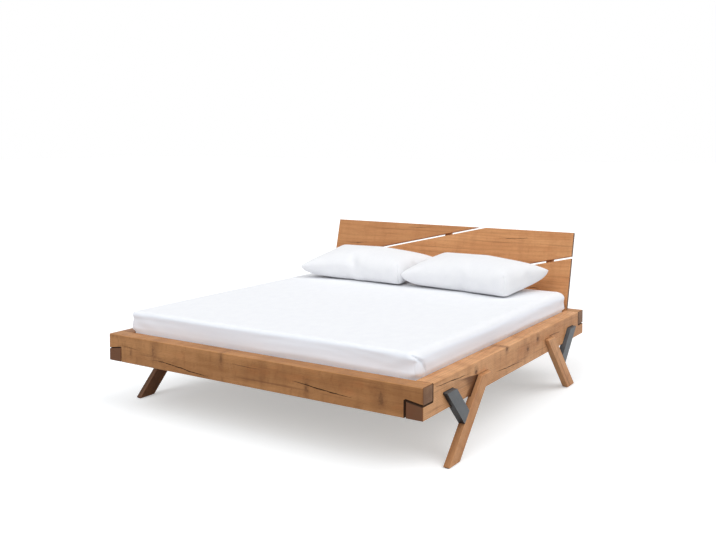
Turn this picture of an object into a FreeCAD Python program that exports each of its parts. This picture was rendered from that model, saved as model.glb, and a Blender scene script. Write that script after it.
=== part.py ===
"""Solid timber double bed with leaning headboard, slatted bases, mattress and pillows.

FreeCAD source: millimetres, +Z up, +Y toward the head, one STEP file per named node.
Working frame: y = 0 is the front face of the foot beam; export moves it to the centre of the whole part.
"""
import math
import os

import FreeCAD
import Part

V = FreeCAD.Vector

# Driving dimensions of the timber frame
FRAME_WIDTH = 2000.0
FRAME_LENGTH = 2216.0
BEAM_HEIGHT = 152.0
BEAM_UNDERSIDE = 279.0
END_BEAM_DEPTH = 96.0
RAIL_DEPTH = 90.0
EDGE_ROUND = 5.0

# Corner lap, a half dovetail that rises toward the inside of the rail
LAP_OUTER_SHARE = 0.45
LAP_INNER_SHARE = 0.55
LAP_GROOVE = 4.0

# Leaning legs and their braces
LEG_THICKNESS = 34.0
LEG_PROUD = 22.0
LEG_WIDTH = 117.0
LEG_SLOPE = 1.0
LEG_FOOT_SETBACK = 219.0
LEG_LAP = 83.0
LEG_EDGE = 2.5
GLIDE_THICKNESS = 3.0
GLIDE_INSET = 8.0
BRACE_WIDTH = 105.0
BRACE_SETBACK = 197.0
BRACE_WALL = 4.0
BRACE_EDGE = 1.5

# Leaning headboard in three boards with two slanting gaps
BOARD_SIDE_INSET = 87.0
BOARD_HEIGHT = 506.0
BOARD_THICKNESS = 28.0
BOARD_LEAN = 14.3
BOARD_SETBACK = 70.0
BOARD_EDGE = 2.0
GAP_WIDTH = 14.5
GAP_SLOPE = 0.245
UPPER_GAP_SHARE = 0.8856
LOWER_GAP_SHARE = 0.2512
BATTEN_WIDTH = 44.0
BATTEN_THICKNESS = 28.0
BATTEN_SHARE = 0.38
BATTEN_DROP = 8.0
TENON_DEPTH = 80.0
MORTISE_PLAY = 0.25

# Bearing timbers and slatted bases
LEDGER_WIDTH = 30.0
LEDGER_HEIGHT = 31.0
CENTRE_BEAM_WIDTH = 60.0
CENTRE_BEAM_HEIGHT = 50.0
HANGER_SHEET = 3.0
HANGER_FLANGE = 24.0
POST_WIDTH = 56.0
POST_CLEARANCE = 30.0
FOOT_RADIUS = 22.0
FOOT_THICKNESS = 8.0
FOOT_ROD_RADIUS = 6.0
FOOT_ROD_LENGTH = 62.0
FOOT_TRAVEL = 15.0
ROD_PLAY = 0.08
INSERT_WALL = 3.0
BASE_PLAY = 5.0
STILE_WIDTH = 24.0
STILE_HEIGHT = 26.0
PAD_THICKNESS = 4.0
PAD_LENGTH = 22.0
SLAT_WIDTH = 64.0
SLAT_THICKNESS = 10.0
SLAT_COUNT = 14
SLAT_END_INSET = 2.0

# Bedding
MATTRESS_HEIGHT = 205.0
MATTRESS_SIDE_PLAY = 2.0
MATTRESS_END_PLAY = 7.0
MATTRESS_CORNER = 55.0
MATTRESS_ROUND = 30.0
SHEET_THICKNESS = 1.5
SHEET_HEM = 6.0
REST_CLEARANCE = 0.3
PILLOW_SHARE = 0.4466
PILLOW_DEPTH = 450.0
PILLOW_UNDER = 82.0
PILLOW_CROWN = 100.0
PILLOW_TILT = 8.0
LEFT_PILLOW_SHARE = -0.2514
LEFT_PILLOW_SETBACK = 316.0
LEFT_PILLOW_TURN = 0.0
RIGHT_PILLOW_SHARE = 0.2191
RIGHT_PILLOW_SETBACK = 334.0
RIGHT_PILLOW_TURN = -7.0

# Fasteners
BOLT_RADIUS = 4.0
BOLT_HEAD_RADIUS = 7.0
BOLT_HEAD = 5.0
WASHER_RADIUS = 9.0
WASHER_THICKNESS = 1.6
COUNTERBORE_RADIUS = 10.0
COUNTERBORE_DEPTH = 8.0
CORNER_BOLT_RADIUS = 5.0
INSERT_LENGTH = 18.0
SCREW_RADIUS = 2.2
SCREW_HEAD_RADIUS = 4.5
SCREW_HEAD = 3.5
HOLE_PLAY = 0.1
LEDGER_SCREW_COUNT = 8
SCREW_BITE = 26.0

# Derived levels and lines
HALF_WIDTH = FRAME_WIDTH / 2.0
BEAM_TOP = BEAM_UNDERSIDE + BEAM_HEIGHT
RAIL_INNER = HALF_WIDTH - RAIL_DEPTH
INNER_START = END_BEAM_DEPTH
INNER_END = FRAME_LENGTH - END_BEAM_DEPTH
LAP_OUTER_Z = BEAM_UNDERSIDE + LAP_OUTER_SHARE * BEAM_HEIGHT
LAP_INNER_Z = BEAM_UNDERSIDE + LAP_INNER_SHARE * BEAM_HEIGHT
LEG_OUTER_X = HALF_WIDTH + LEG_PROUD
LEG_INNER_X = LEG_OUTER_X - LEG_THICKNESS
LEG_TOP_Z = BEAM_UNDERSIDE + LEG_LAP
LEAN = math.radians(BOARD_LEAN)
UP = V(0, math.sin(LEAN), math.cos(LEAN))
BACK = V(0, math.cos(LEAN), -math.sin(LEAN))
BOARD_FOOT = V(0, FRAME_LENGTH - BOARD_SETBACK, BEAM_TOP)
BOARD_WIDTH = FRAME_WIDTH - 2.0 * BOARD_SIDE_INSET
UPPER_GAP_RISE = UPPER_GAP_SHARE * BOARD_HEIGHT
LOWER_GAP_RISE = LOWER_GAP_SHARE * BOARD_HEIGHT
BATTEN_SPREAD = BATTEN_SHARE * FRAME_WIDTH
BATTEN_TOP = BOARD_HEIGHT - BATTEN_DROP
BATTEN_XS = (-BATTEN_SPREAD, 0.0, BATTEN_SPREAD)
BEARER_TOP = BEAM_UNDERSIDE + LEDGER_HEIGHT
STILE_TOP = BEARER_TOP + STILE_HEIGHT
SLAT_BOTTOM = STILE_TOP + PAD_THICKNESS
SLAT_TOP = SLAT_BOTTOM + SLAT_THICKNESS
BASE_OUTER_X = RAIL_INNER - BASE_PLAY
BASE_INNER_X = BASE_PLAY
BASE_START = INNER_START + BASE_PLAY
BASE_END = INNER_END - BASE_PLAY
MATTRESS_BOTTOM = SLAT_TOP + REST_CLEARANCE
MATTRESS_TOP = MATTRESS_BOTTOM + MATTRESS_HEIGHT
MATTRESS_WIDTH = 2.0 * (RAIL_INNER - MATTRESS_SIDE_PLAY)
PILLOW_LENGTH = PILLOW_SHARE * MATTRESS_WIDTH
MID_Y = FRAME_LENGTH / 2.0
REAR_Y = BOARD_FOOT.y + BATTEN_TOP * UP.y + (BOARD_THICKNESS + BATTEN_THICKNESS) * BACK.y
FOOT_Y = -REAR_Y / 2.0


def block(x0, x1, y0, y1, z0, z1):
    """Box between two corners."""
    return Part.makeBox(x1 - x0, y1 - y0, z1 - z0, V(x0, y0, z0))


def prism(points, direction):
    """Solid swept from a flat polygon along a direction."""
    wire = Part.makePolygon(points + [points[0]])
    return Part.Face(wire).extrude(direction)


def yz_prism(points, x0, x1):
    """Prism with its outline in the YZ plane, between two X values."""
    return prism([V(x0, y, z) for y, z in points], V(x1 - x0, 0, 0))


def xz_prism(points, y0, y1):
    """Prism with its outline in the XZ plane, between two Y values."""
    return prism([V(x, y0, z) for x, z in points], V(0, y1 - y0, 0))


def rod(start, direction, radius, length):
    """Cylinder from a start point along a direction."""
    return Part.makeCylinder(radius, length, start, direction)


def group(shapes):
    """One compound of several solids."""
    return Part.makeCompound(shapes)


def cut(shape, tools):
    """A solid with several tools taken away."""
    return shape.cut(tools).removeSplitter().Solids[0]


def mirror_x(shape):
    """The copy on the other side of the bed."""
    return shape.mirror(V(0, 0, 0), V(1, 0, 0))


def mirror_y(shape):
    """The copy at the other end of the frame."""
    return shape.mirror(V(0, MID_Y, 0), V(0, 1, 0))


def four(shape):
    """A shape at all four corners of the frame."""
    front = [shape, mirror_x(shape)]
    return front + [mirror_y(each) for each in front]


def soften(shape, size, sharp):
    """Round every edge for which sharp(midpoint) is false."""
    edges = []
    for edge in shape.Edges:
        middle = edge.valueAt((edge.FirstParameter + edge.LastParameter) / 2.0)
        if not sharp(middle):
            edges.append(edge)
    return shape.makeFillet(size, edges)


def hexagon(start, direction, radius, height):
    """Hexagonal prism for a bolt head or a nut."""
    axis = V(direction).normalize()
    side = axis.cross(V(1, 0, 0))
    if side.Length < 0.5:
        side = axis.cross(V(0, 1, 0))
    side.normalize()
    up = axis.cross(side)
    points = []
    for step in range(6):
        angle = math.radians(60 * step)
        points.append(start + side * (radius * math.cos(angle)) + up * (radius * math.sin(angle)))
    return prism(points, axis * height)


def bolt(seat, direction, radius, head_radius, head, length):
    """Hex bolt whose head stands on the seat and whose shank runs along the direction."""
    axis = V(direction).normalize()
    cap = hexagon(seat, axis * -1, head_radius, head)
    return cap.fuse(rod(seat, axis, radius, length)).removeSplitter()


def washer(seat, direction, radius):
    """Flat washer lying on a seat, thickness against the direction."""
    axis = V(direction).normalize()
    ring = rod(seat, axis * -1, WASHER_RADIUS, WASHER_THICKNESS)
    return ring.cut(rod(seat + axis, axis * -1, radius + HOLE_PLAY, WASHER_THICKNESS + 2))


def sleeve(start, direction, bore, length):
    """Threaded insert: a tube of fixed wall around a bolt."""
    outer = rod(start, direction, bore + HOLE_PLAY + INSERT_WALL, length)
    return outer.cut(rod(start, direction, bore + HOLE_PLAY, length))


def screw(seat, direction, length):
    """Wood screw with its head sunk flush below the seat."""
    axis = V(direction).normalize()
    head = rod(seat, axis, SCREW_HEAD_RADIUS, SCREW_HEAD)
    return head.fuse(rod(seat, axis, SCREW_RADIUS, length)).removeSplitter()


def screw_hole(seat, direction, length):
    """The hole that a screw fills."""
    axis = V(direction).normalize()
    head = rod(seat - axis, axis, SCREW_HEAD_RADIUS + HOLE_PLAY, SCREW_HEAD + 1)
    return head.fuse(rod(seat, axis, SCREW_RADIUS + HOLE_PLAY, length + HOLE_PLAY))


def corner_bolt_axis():
    """Plan position of the bolt in the front right corner lap."""
    return HALF_WIDTH - RAIL_DEPTH / 2.0, END_BEAM_DEPTH / 2.0


CORNER_SEAT_Z = BEAM_UNDERSIDE + COUNTERBORE_DEPTH + WASHER_THICKNESS
CORNER_INSERT_Z = BEAM_UNDERSIDE + (LAP_OUTER_SHARE + LAP_INNER_SHARE) / 2.0 * BEAM_HEIGHT + 12.0
CORNER_BOLT_LENGTH = CORNER_INSERT_Z + INSERT_LENGTH - CORNER_SEAT_Z


def corner_parts():
    """Bolt, washer and insert of the front right corner."""
    x, y = corner_bolt_axis()
    seat = V(x, y, CORNER_SEAT_Z)
    fixing = bolt(seat - V(0, 0, WASHER_THICKNESS), V(0, 0, 1), CORNER_BOLT_RADIUS, BOLT_HEAD_RADIUS + 1.0,
                  BOLT_HEAD + 1.0, CORNER_BOLT_LENGTH + WASHER_THICKNESS)
    ring = washer(seat, V(0, 0, 1), CORNER_BOLT_RADIUS)
    insert = sleeve(V(x, y, CORNER_INSERT_Z), V(0, 0, 1), CORNER_BOLT_RADIUS, INSERT_LENGTH)
    return fixing, ring, insert


def corner_rail_holes():
    """Counterbore and bolt hole in the rail tongue."""
    x, y = corner_bolt_axis()
    bore = rod(V(x, y, BEAM_UNDERSIDE - 1), V(0, 0, 1), COUNTERBORE_RADIUS, CORNER_SEAT_Z - BEAM_UNDERSIDE + 1)
    return bore.fuse(rod(V(x, y, BEAM_UNDERSIDE), V(0, 0, 1), CORNER_BOLT_RADIUS + HOLE_PLAY, BEAM_HEIGHT / 2 + 20))


def corner_beam_hole():
    """Hole for the insert and the bolt end in the end beam."""
    x, y = corner_bolt_axis()
    radius = CORNER_BOLT_RADIUS + HOLE_PLAY + INSERT_WALL
    insert = rod(V(x, y, CORNER_INSERT_Z), V(0, 0, 1), radius, INSERT_LENGTH)
    lead = rod(V(x, y, LAP_OUTER_Z - 5), V(0, 0, 1), CORNER_BOLT_RADIUS + HOLE_PLAY, CORNER_INSERT_Z - LAP_OUTER_Z + 10)
    return insert.fuse(lead)


def leg_outline(bottom):
    """Front leg outline in (y, z), leaning toward the middle of the bed as it rises."""
    low = LEG_FOOT_SETBACK + LEG_SLOPE * bottom
    high = LEG_FOOT_SETBACK + LEG_SLOPE * LEG_TOP_Z
    return [(low, bottom), (low + LEG_WIDTH, bottom), (high + LEG_WIDTH, LEG_TOP_Z), (high, LEG_TOP_Z)]


def brace_outline(inset):
    """Front brace outline in (y, z): flat top, foot cut along the leg's front edge, walls inset."""
    run = math.sqrt(1.0 + LEG_SLOPE ** 2)
    top = LEG_TOP_Z - inset
    front = BRACE_SETBACK + inset * run
    rear = BRACE_SETBACK + BRACE_WIDTH - inset * run

    def foot(start):
        level = (start + LEG_SLOPE * LEG_TOP_Z - LEG_FOOT_SETBACK) / (2.0 * LEG_SLOPE)
        return start + LEG_SLOPE * (LEG_TOP_Z - level), level

    def head(start):
        return start + LEG_SLOPE * (LEG_TOP_Z - top), top

    return [head(front), head(rear), foot(rear), foot(front)]


LEG_BOLT_ZS = (BEARER_TOP + 14.0, LEG_TOP_Z - 15.0)
BRACE_BOLT_Z = BEARER_TOP + 18.0
NUT_SIZE = 15.0
NUT_HEIGHT = 12.0
SEAT_X = RAIL_INNER + COUNTERBORE_DEPTH


def leg_bolt_spots():
    """Centres (y, z) of the two bolts of the front right leg."""
    return [(LEG_FOOT_SETBACK + LEG_WIDTH / 2.0 + LEG_SLOPE * z, z) for z in LEG_BOLT_ZS]


def brace_bolt_spot():
    """Centre (y, z) of the bolt of the front right brace."""
    return BRACE_SETBACK + BRACE_WIDTH / 2.0 + LEG_SLOPE * (LEG_TOP_Z - BRACE_BOLT_Z), BRACE_BOLT_Z


def leg_hole(y, z):
    """Insert hole in the leg's inner face."""
    radius = BOLT_RADIUS + HOLE_PLAY + INSERT_WALL
    return rod(V(LEG_INNER_X, y, z), V(1, 0, 0), radius, INSERT_LENGTH)


def leg():
    """Front right leg plank."""
    plank = yz_prism(leg_outline(GLIDE_THICKNESS), LEG_INNER_X, LEG_OUTER_X)
    plank = soften(plank, LEG_EDGE, lambda p: p.x < LEG_OUTER_X - 0.1 and p.z > LEG_TOP_Z - 0.1)
    return cut(plank, [leg_hole(y, z) for y, z in leg_bolt_spots()])


def brace():
    """Front right brace: a folded box, open at the foot that the leg covers."""
    skin = yz_prism(brace_outline(0.0), LEG_INNER_X, LEG_OUTER_X)
    long_edges = [edge for edge in skin.Edges if abs(edge.BoundBox.Center.x - LEG_OUTER_X) < 0.1]
    skin = skin.makeFillet(BRACE_EDGE, long_edges)
    inner = brace_outline(BRACE_WALL)
    head_front, head_rear, foot_rear, foot_front = inner
    past = 30.0
    foot_rear = (foot_rear[0] + past * LEG_SLOPE, foot_rear[1] - past)
    foot_front = (foot_front[0] + past * LEG_SLOPE, foot_front[1] - past)
    hollow = yz_prism([head_front, head_rear, foot_rear, foot_front], LEG_INNER_X + BRACE_WALL, LEG_OUTER_X - BRACE_WALL)
    y, z = brace_bolt_spot()
    hole = rod(V(LEG_INNER_X - 1, y, z), V(1, 0, 0), BOLT_RADIUS + HOLE_PLAY, BRACE_WALL + 2)
    return cut(skin, [hollow, hole])


def glide():
    """Felt pad under the front right leg."""
    low = LEG_FOOT_SETBACK + LEG_SLOPE * GLIDE_THICKNESS
    return block(LEG_INNER_X + GLIDE_INSET, LEG_OUTER_X - GLIDE_INSET, low + GLIDE_INSET,
                 low + LEG_WIDTH - GLIDE_INSET, 0.0, GLIDE_THICKNESS)


def side_bolt_holes():
    """Holes through the right rail for the bolts of the front leg and brace."""
    tools = []
    for y, z in leg_bolt_spots() + [brace_bolt_spot()]:
        tools.append(rod(V(RAIL_INNER - 1, y, z), V(1, 0, 0), COUNTERBORE_RADIUS, COUNTERBORE_DEPTH + 1))
        tools.append(rod(V(RAIL_INNER, y, z), V(1, 0, 0), BOLT_RADIUS + HOLE_PLAY, RAIL_DEPTH))
    return tools


def side_bolt(y, z, length):
    """Bolt and washer from the rail's inner face outward."""
    seat = V(SEAT_X, y, z)
    fixing = bolt(seat - V(WASHER_THICKNESS, 0, 0), V(1, 0, 0), BOLT_RADIUS, BOLT_HEAD_RADIUS, BOLT_HEAD,
                  length + WASHER_THICKNESS)
    return fixing, washer(seat, V(1, 0, 0), BOLT_RADIUS)


LEDGER_SCREW_LENGTH = LEDGER_WIDTH + SCREW_BITE
LEDGER_INNER = RAIL_INNER - LEDGER_WIDTH


def ledger_screw_seats():
    """Seats of the screws along the right ledger's inner face."""
    run = INNER_END - INNER_START
    pitch = run / LEDGER_SCREW_COUNT
    z = BEAM_UNDERSIDE + LEDGER_HEIGHT / 2.0
    return [V(LEDGER_INNER, INNER_START + pitch * (step + 0.5), z) for step in range(LEDGER_SCREW_COUNT)]


def rail():
    """Right side rail with lap tongues, leg and brace housings and all its holes."""
    body = block(RAIL_INNER, HALF_WIDTH, 0.0, FRAME_LENGTH, BEAM_UNDERSIDE, BEAM_TOP)
    notch = xz_prism([(RAIL_INNER - 1, LAP_INNER_Z + (LAP_INNER_Z - LAP_OUTER_Z) / RAIL_DEPTH),
                      (HALF_WIDTH + 1, LAP_OUTER_Z - (LAP_INNER_Z - LAP_OUTER_Z) / RAIL_DEPTH),
                      (HALF_WIDTH + 1, BEAM_TOP + 1), (RAIL_INNER - 1, BEAM_TOP + 1)], -1.0, END_BEAM_DEPTH)
    body = cut(body, [notch, mirror_y(notch)])

    def inside_lap(p):
        at_shoulder = abs(p.y - END_BEAM_DEPTH) < 0.1 or abs(p.y - INNER_END) < 0.1
        return at_shoulder and p.z < BEAM_TOP - 1

    body = soften(body, EDGE_ROUND, inside_lap)
    housings = [yz_prism(leg_outline(BEAM_UNDERSIDE - 20), LEG_INNER_X, HALF_WIDTH + 1)]
    housings.append(yz_prism(brace_outline(0.0), LEG_INNER_X, HALF_WIDTH + 1))
    front = housings + side_bolt_holes() + [corner_rail_holes()]
    tools = front + [mirror_y(each) for each in front]
    tools += [screw_hole(seat, V(1, 0, 0), LEDGER_SCREW_LENGTH) for seat in ledger_screw_seats()]
    return cut(body, tools)


def ledger():
    """Right bearing ledger, screwed to the inner face of the rail."""
    body = block(LEDGER_INNER, RAIL_INNER, INNER_START, INNER_END, BEAM_UNDERSIDE, BEARER_TOP)
    return cut(body, [screw_hole(seat, V(1, 0, 0), LEDGER_SCREW_LENGTH) for seat in ledger_screw_seats()])


CENTRE_UNDERSIDE = BEARER_TOP - CENTRE_BEAM_HEIGHT
HANGER_SCREW_Z = BEAM_UNDERSIDE + 12.0


def hanger_screw_seats():
    """Seats of the two screws that hold the foot end hanger."""
    x = CENTRE_BEAM_WIDTH / 2.0 + HANGER_SHEET + HANGER_FLANGE / 2.0
    y = INNER_START + HANGER_SHEET
    return [V(side * x, y, HANGER_SCREW_Z) for side in (-1, 1)]


def hanger_screw(seat):
    """Pan head screw into the foot beam."""
    head = rod(seat, V(0, 1, 0), SCREW_HEAD_RADIUS, SCREW_HEAD)
    return head.fuse(rod(seat, V(0, -1, 0), SCREW_RADIUS, HANGER_SHEET + SCREW_BITE)).removeSplitter()


def hanger_screw_hole(seat):
    """Hole for one hanger screw in sheet and beam."""
    return rod(seat + V(0, 1, 0), V(0, -1, 0), SCREW_RADIUS + HOLE_PLAY, HANGER_SHEET + SCREW_BITE + 1 + HOLE_PLAY)


def hanger():
    """Sheet steel shoe that carries the foot end of the centre beam."""
    half = CENTRE_BEAM_WIDTH / 2.0 + HANGER_SHEET
    depth = 46.0
    y = INNER_START
    wide = half + HANGER_FLANGE
    back = block(-wide, wide, y, y + HANGER_SHEET, BEAM_UNDERSIDE, BEARER_TOP - 4)
    tail = block(-half, half, y, y + HANGER_SHEET, CENTRE_UNDERSIDE - HANGER_SHEET, BEARER_TOP - 4)
    shoe = block(-half, half, y, y + depth, CENTRE_UNDERSIDE - HANGER_SHEET, BEARER_TOP - 4)
    room = block(-CENTRE_BEAM_WIDTH / 2.0, CENTRE_BEAM_WIDTH / 2.0, y + HANGER_SHEET, y + depth + 1,
                 CENTRE_UNDERSIDE, BEARER_TOP)
    body = back.fuse([tail, shoe]).cut(room).removeSplitter()
    return cut(body, [hanger_screw_hole(seat) for seat in hanger_screw_seats()])


def centre_beam():
    """Middle bearer between the two hangers."""
    half = CENTRE_BEAM_WIDTH / 2.0
    y0 = INNER_START + HANGER_SHEET
    body = block(-half, half, y0, FRAME_LENGTH - y0, CENTRE_UNDERSIDE, BEARER_TOP)
    return cut(body, [screw_hole(V(0, MID_Y + side * 14.0, BEARER_TOP), V(0, 0, -1), POST_SCREW) for side in (-1, 1)])


POST_SCREW = CENTRE_BEAM_HEIGHT + 34.0
ROD_TOP = FOOT_THICKNESS + FOOT_ROD_LENGTH
ROD_INSERT_LENGTH = 26.0


def centre_post():
    """Post under the middle of the centre beam, bored for the levelling foot."""
    half = POST_WIDTH / 2.0
    body = block(-half, half, MID_Y - half, MID_Y + half, POST_CLEARANCE, CENTRE_UNDERSIDE)
    body = body.makeFillet(LEG_EDGE, [edge for edge in body.Edges if edge.BoundBox.ZLength > 100])
    bore = FOOT_ROD_RADIUS + ROD_PLAY
    insert = rod(V(0, MID_Y, POST_CLEARANCE), V(0, 0, 1), bore + INSERT_WALL, ROD_INSERT_LENGTH)
    room = rod(V(0, MID_Y, POST_CLEARANCE), V(0, 0, 1), bore + 1.0, ROD_TOP - POST_CLEARANCE + FOOT_TRAVEL + 6)
    screws = [screw_hole(V(0, MID_Y + side * 14.0, BEARER_TOP), V(0, 0, -1), POST_SCREW) for side in (-1, 1)]
    return cut(body, [insert, room] + screws)


def rod_insert():
    """Threaded insert in the foot of the post."""
    bore = FOOT_ROD_RADIUS + ROD_PLAY
    outer = rod(V(0, MID_Y, POST_CLEARANCE), V(0, 0, 1), bore + INSERT_WALL, ROD_INSERT_LENGTH)
    return outer.cut(rod(V(0, MID_Y, POST_CLEARANCE), V(0, 0, 1), bore, ROD_INSERT_LENGTH))


def levelling_foot():
    """Disc foot with its threaded rod."""
    disc = Part.makeCylinder(FOOT_RADIUS, FOOT_THICKNESS, V(0, MID_Y, 0))
    disc = disc.makeChamfer(2.0, [edge for edge in disc.Edges if edge.BoundBox.ZMin > FOOT_THICKNESS - 0.1])
    stem = rod(V(0, MID_Y, 0), V(0, 0, 1), FOOT_ROD_RADIUS, ROD_TOP)
    return disc.fuse(stem).removeSplitter()


def end_beam():
    """Foot beam: upper half runs out over the rail tongues, lower half stops at the groove."""
    body = block(-HALF_WIDTH, HALF_WIDTH, 0.0, END_BEAM_DEPTH, BEAM_UNDERSIDE, BEAM_TOP)
    slope = (LAP_INNER_Z - LAP_OUTER_Z) / RAIL_DEPTH
    step = RAIL_INNER - LAP_GROOVE
    notch = xz_prism([(step, BEAM_UNDERSIDE - 1), (HALF_WIDTH + 1, BEAM_UNDERSIDE - 1),
                      (HALF_WIDTH + 1, LAP_OUTER_Z - slope), (step, LAP_INNER_Z + slope * LAP_GROOVE)],
                     -1.0, END_BEAM_DEPTH + 1)
    body = cut(body, [notch, mirror_x(notch)])

    def inside_lap(p):
        corner = abs(abs(p.x) - step) < 0.1 and abs(p.z - LAP_INNER_Z - slope * LAP_GROOVE) < 0.1
        return corner

    return soften(body, EDGE_ROUND, inside_lap)


def foot_beam():
    """Foot beam with corner holes and hanger screw holes."""
    hole = corner_beam_hole()
    tools = [hole, mirror_x(hole)] + [hanger_screw_hole(seat) for seat in hanger_screw_seats()]
    return cut(end_beam(), tools)


def board_point(x, rise, depth):
    """Point of the leaning headboard from its width, slant height and depth behind the front face."""
    return BOARD_FOOT + V(x, 0, 0) + UP * rise + BACK * depth


def slant_prism(outline, depth0, depth1):
    """Prism on the headboard plane from an outline in (x, rise)."""
    return prism([board_point(x, rise, depth0) for x, rise in outline], BACK * (depth1 - depth0))


LOCK_Z = BEAM_TOP - TENON_DEPTH / 2.0


def lock_axis_y():
    """Middle of the batten tenon at the level of the lock bolt."""
    centre = board_point(0.0, 0.0, BOARD_THICKNESS + BATTEN_THICKNESS / 2.0)
    return centre.y - (centre.z - LOCK_Z) * math.tan(LEAN)


LOCK_SEAT_Y = FRAME_LENGTH - COUNTERBORE_DEPTH
LOCK_INSERT_Y = lock_axis_y() - BATTEN_THICKNESS / 2.0 - 6.0


def lock_hole(x):
    """Through hole of one lock bolt, from the head beam's rear face past the tenon."""
    return rod(V(x, FRAME_LENGTH + 1, LOCK_Z), V(0, -1, 0), BOLT_RADIUS + HOLE_PLAY,
               FRAME_LENGTH + 1 - LOCK_INSERT_Y + INSERT_LENGTH)


def mortise(x):
    """Slanting mortise for one batten, with play on its sides and none at its floor."""
    half = BATTEN_WIDTH / 2.0 + MORTISE_PLAY
    shaft = slant_prism([(x - half, -TENON_DEPTH * 1.3), (x + half, -TENON_DEPTH * 1.3), (x + half, 40.0),
                         (x - half, 40.0)], BOARD_THICKNESS - MORTISE_PLAY,
                        BOARD_THICKNESS + BATTEN_THICKNESS + MORTISE_PLAY)
    keep = block(-HALF_WIDTH, HALF_WIDTH, INNER_END, FRAME_LENGTH, BEAM_TOP - TENON_DEPTH, BEAM_TOP + 100)
    return shaft.common(keep)


def head_beam():
    """Head beam with corner holes, hanger screw holes, batten mortises and lock bolt holes."""
    hole = corner_beam_hole()
    front = [hole, mirror_x(hole)] + [hanger_screw_hole(seat) for seat in hanger_screw_seats()]
    tools = [mirror_y(each) for each in front]
    for x in BATTEN_XS:
        tools.append(mortise(x))
        tools.append(lock_hole(x))
        tools.append(rod(V(x, FRAME_LENGTH + 1, LOCK_Z), V(0, -1, 0), COUNTERBORE_RADIUS, COUNTERBORE_DEPTH + 1))
        tools.append(rod(V(x, LOCK_INSERT_Y, LOCK_Z), V(0, -1, 0), BOLT_RADIUS + HOLE_PLAY + INSERT_WALL, INSERT_LENGTH))
    return cut(mirror_y(end_beam()), tools)


def lock_parts(x):
    """Bolt, washer and insert that lock one batten in the head beam."""
    seat = V(x, LOCK_SEAT_Y, LOCK_Z)
    length = LOCK_SEAT_Y - LOCK_INSERT_Y + INSERT_LENGTH
    fixing = bolt(seat + V(0, WASHER_THICKNESS, 0), V(0, -1, 0), BOLT_RADIUS, BOLT_HEAD_RADIUS, BOLT_HEAD,
                  length + WASHER_THICKNESS)
    ring = washer(seat, V(0, -1, 0), BOLT_RADIUS)
    insert = sleeve(V(x, LOCK_INSERT_Y, LOCK_Z), V(0, -1, 0), BOLT_RADIUS, INSERT_LENGTH)
    return fixing, ring, insert


GAP_RISE = GAP_WIDTH * math.sqrt(1.0 + GAP_SLOPE ** 2)
BOARD_HALF = BOARD_WIDTH / 2.0
FLOOR_CUT = -BOARD_THICKNESS


def gap_edge(rise, x):
    """Slant height of a gap's upper edge at a width."""
    return rise + GAP_SLOPE * x


def gap_cross(rise, level):
    """Width at which a gap edge reaches a slant height."""
    return (level - rise) / GAP_SLOPE


def upper_board_outline():
    """Board above the upper gap."""
    return [(-BOARD_HALF, gap_edge(UPPER_GAP_RISE, -BOARD_HALF)),
            (gap_cross(UPPER_GAP_RISE, BOARD_HEIGHT), BOARD_HEIGHT), (-BOARD_HALF, BOARD_HEIGHT)]


def middle_board_outline():
    """Board between the two gaps."""
    upper = UPPER_GAP_RISE - GAP_RISE
    return [(-BOARD_HALF, FLOOR_CUT), (gap_cross(LOWER_GAP_RISE, FLOOR_CUT), FLOOR_CUT),
            (BOARD_HALF, gap_edge(LOWER_GAP_RISE, BOARD_HALF)), (BOARD_HALF, BOARD_HEIGHT),
            (gap_cross(upper, BOARD_HEIGHT), BOARD_HEIGHT), (-BOARD_HALF, gap_edge(upper, -BOARD_HALF))]


def lower_board_outline():
    """Board below the lower gap."""
    lower = LOWER_GAP_RISE - GAP_RISE
    return [(gap_cross(lower, FLOOR_CUT), FLOOR_CUT), (BOARD_HALF, FLOOR_CUT),
            (BOARD_HALF, gap_edge(lower, BOARD_HALF))]


def batten_screw_spots():
    """Screws as (x, rise): each board is held at two battens or more."""
    upper = [(-BATTEN_SPREAD, BOARD_HEIGHT - 40), (-BATTEN_SPREAD, gap_edge(UPPER_GAP_RISE, -BATTEN_SPREAD) + 40),
             (0.0, (gap_edge(UPPER_GAP_RISE, 0.0) + BATTEN_TOP) / 2.0)]
    middle = [(-BATTEN_SPREAD, 50.0), (-BATTEN_SPREAD, gap_edge(UPPER_GAP_RISE, -BATTEN_SPREAD) - GAP_RISE - 40),
              (0.0, gap_edge(LOWER_GAP_RISE, 0.0) + 40), (0.0, gap_edge(UPPER_GAP_RISE, 0.0) - GAP_RISE - 40),
              (BATTEN_SPREAD, gap_edge(LOWER_GAP_RISE, BATTEN_SPREAD) + 40), (BATTEN_SPREAD, BOARD_HEIGHT - 40)]
    lower = [(0.0, (gap_edge(LOWER_GAP_RISE, 0.0) - GAP_RISE) / 2.0), (BATTEN_SPREAD, 60.0),
             (BATTEN_SPREAD, gap_edge(LOWER_GAP_RISE, BATTEN_SPREAD) - GAP_RISE - 40)]
    return upper + middle + lower


BATTEN_SCREW_LENGTH = BATTEN_THICKNESS + BOARD_THICKNESS - 10.0


def batten_screw_seats():
    """Seats of all batten screws on the battens' rear faces."""
    return [board_point(x, rise, BOARD_THICKNESS + BATTEN_THICKNESS) for x, rise in batten_screw_spots()]


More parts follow.
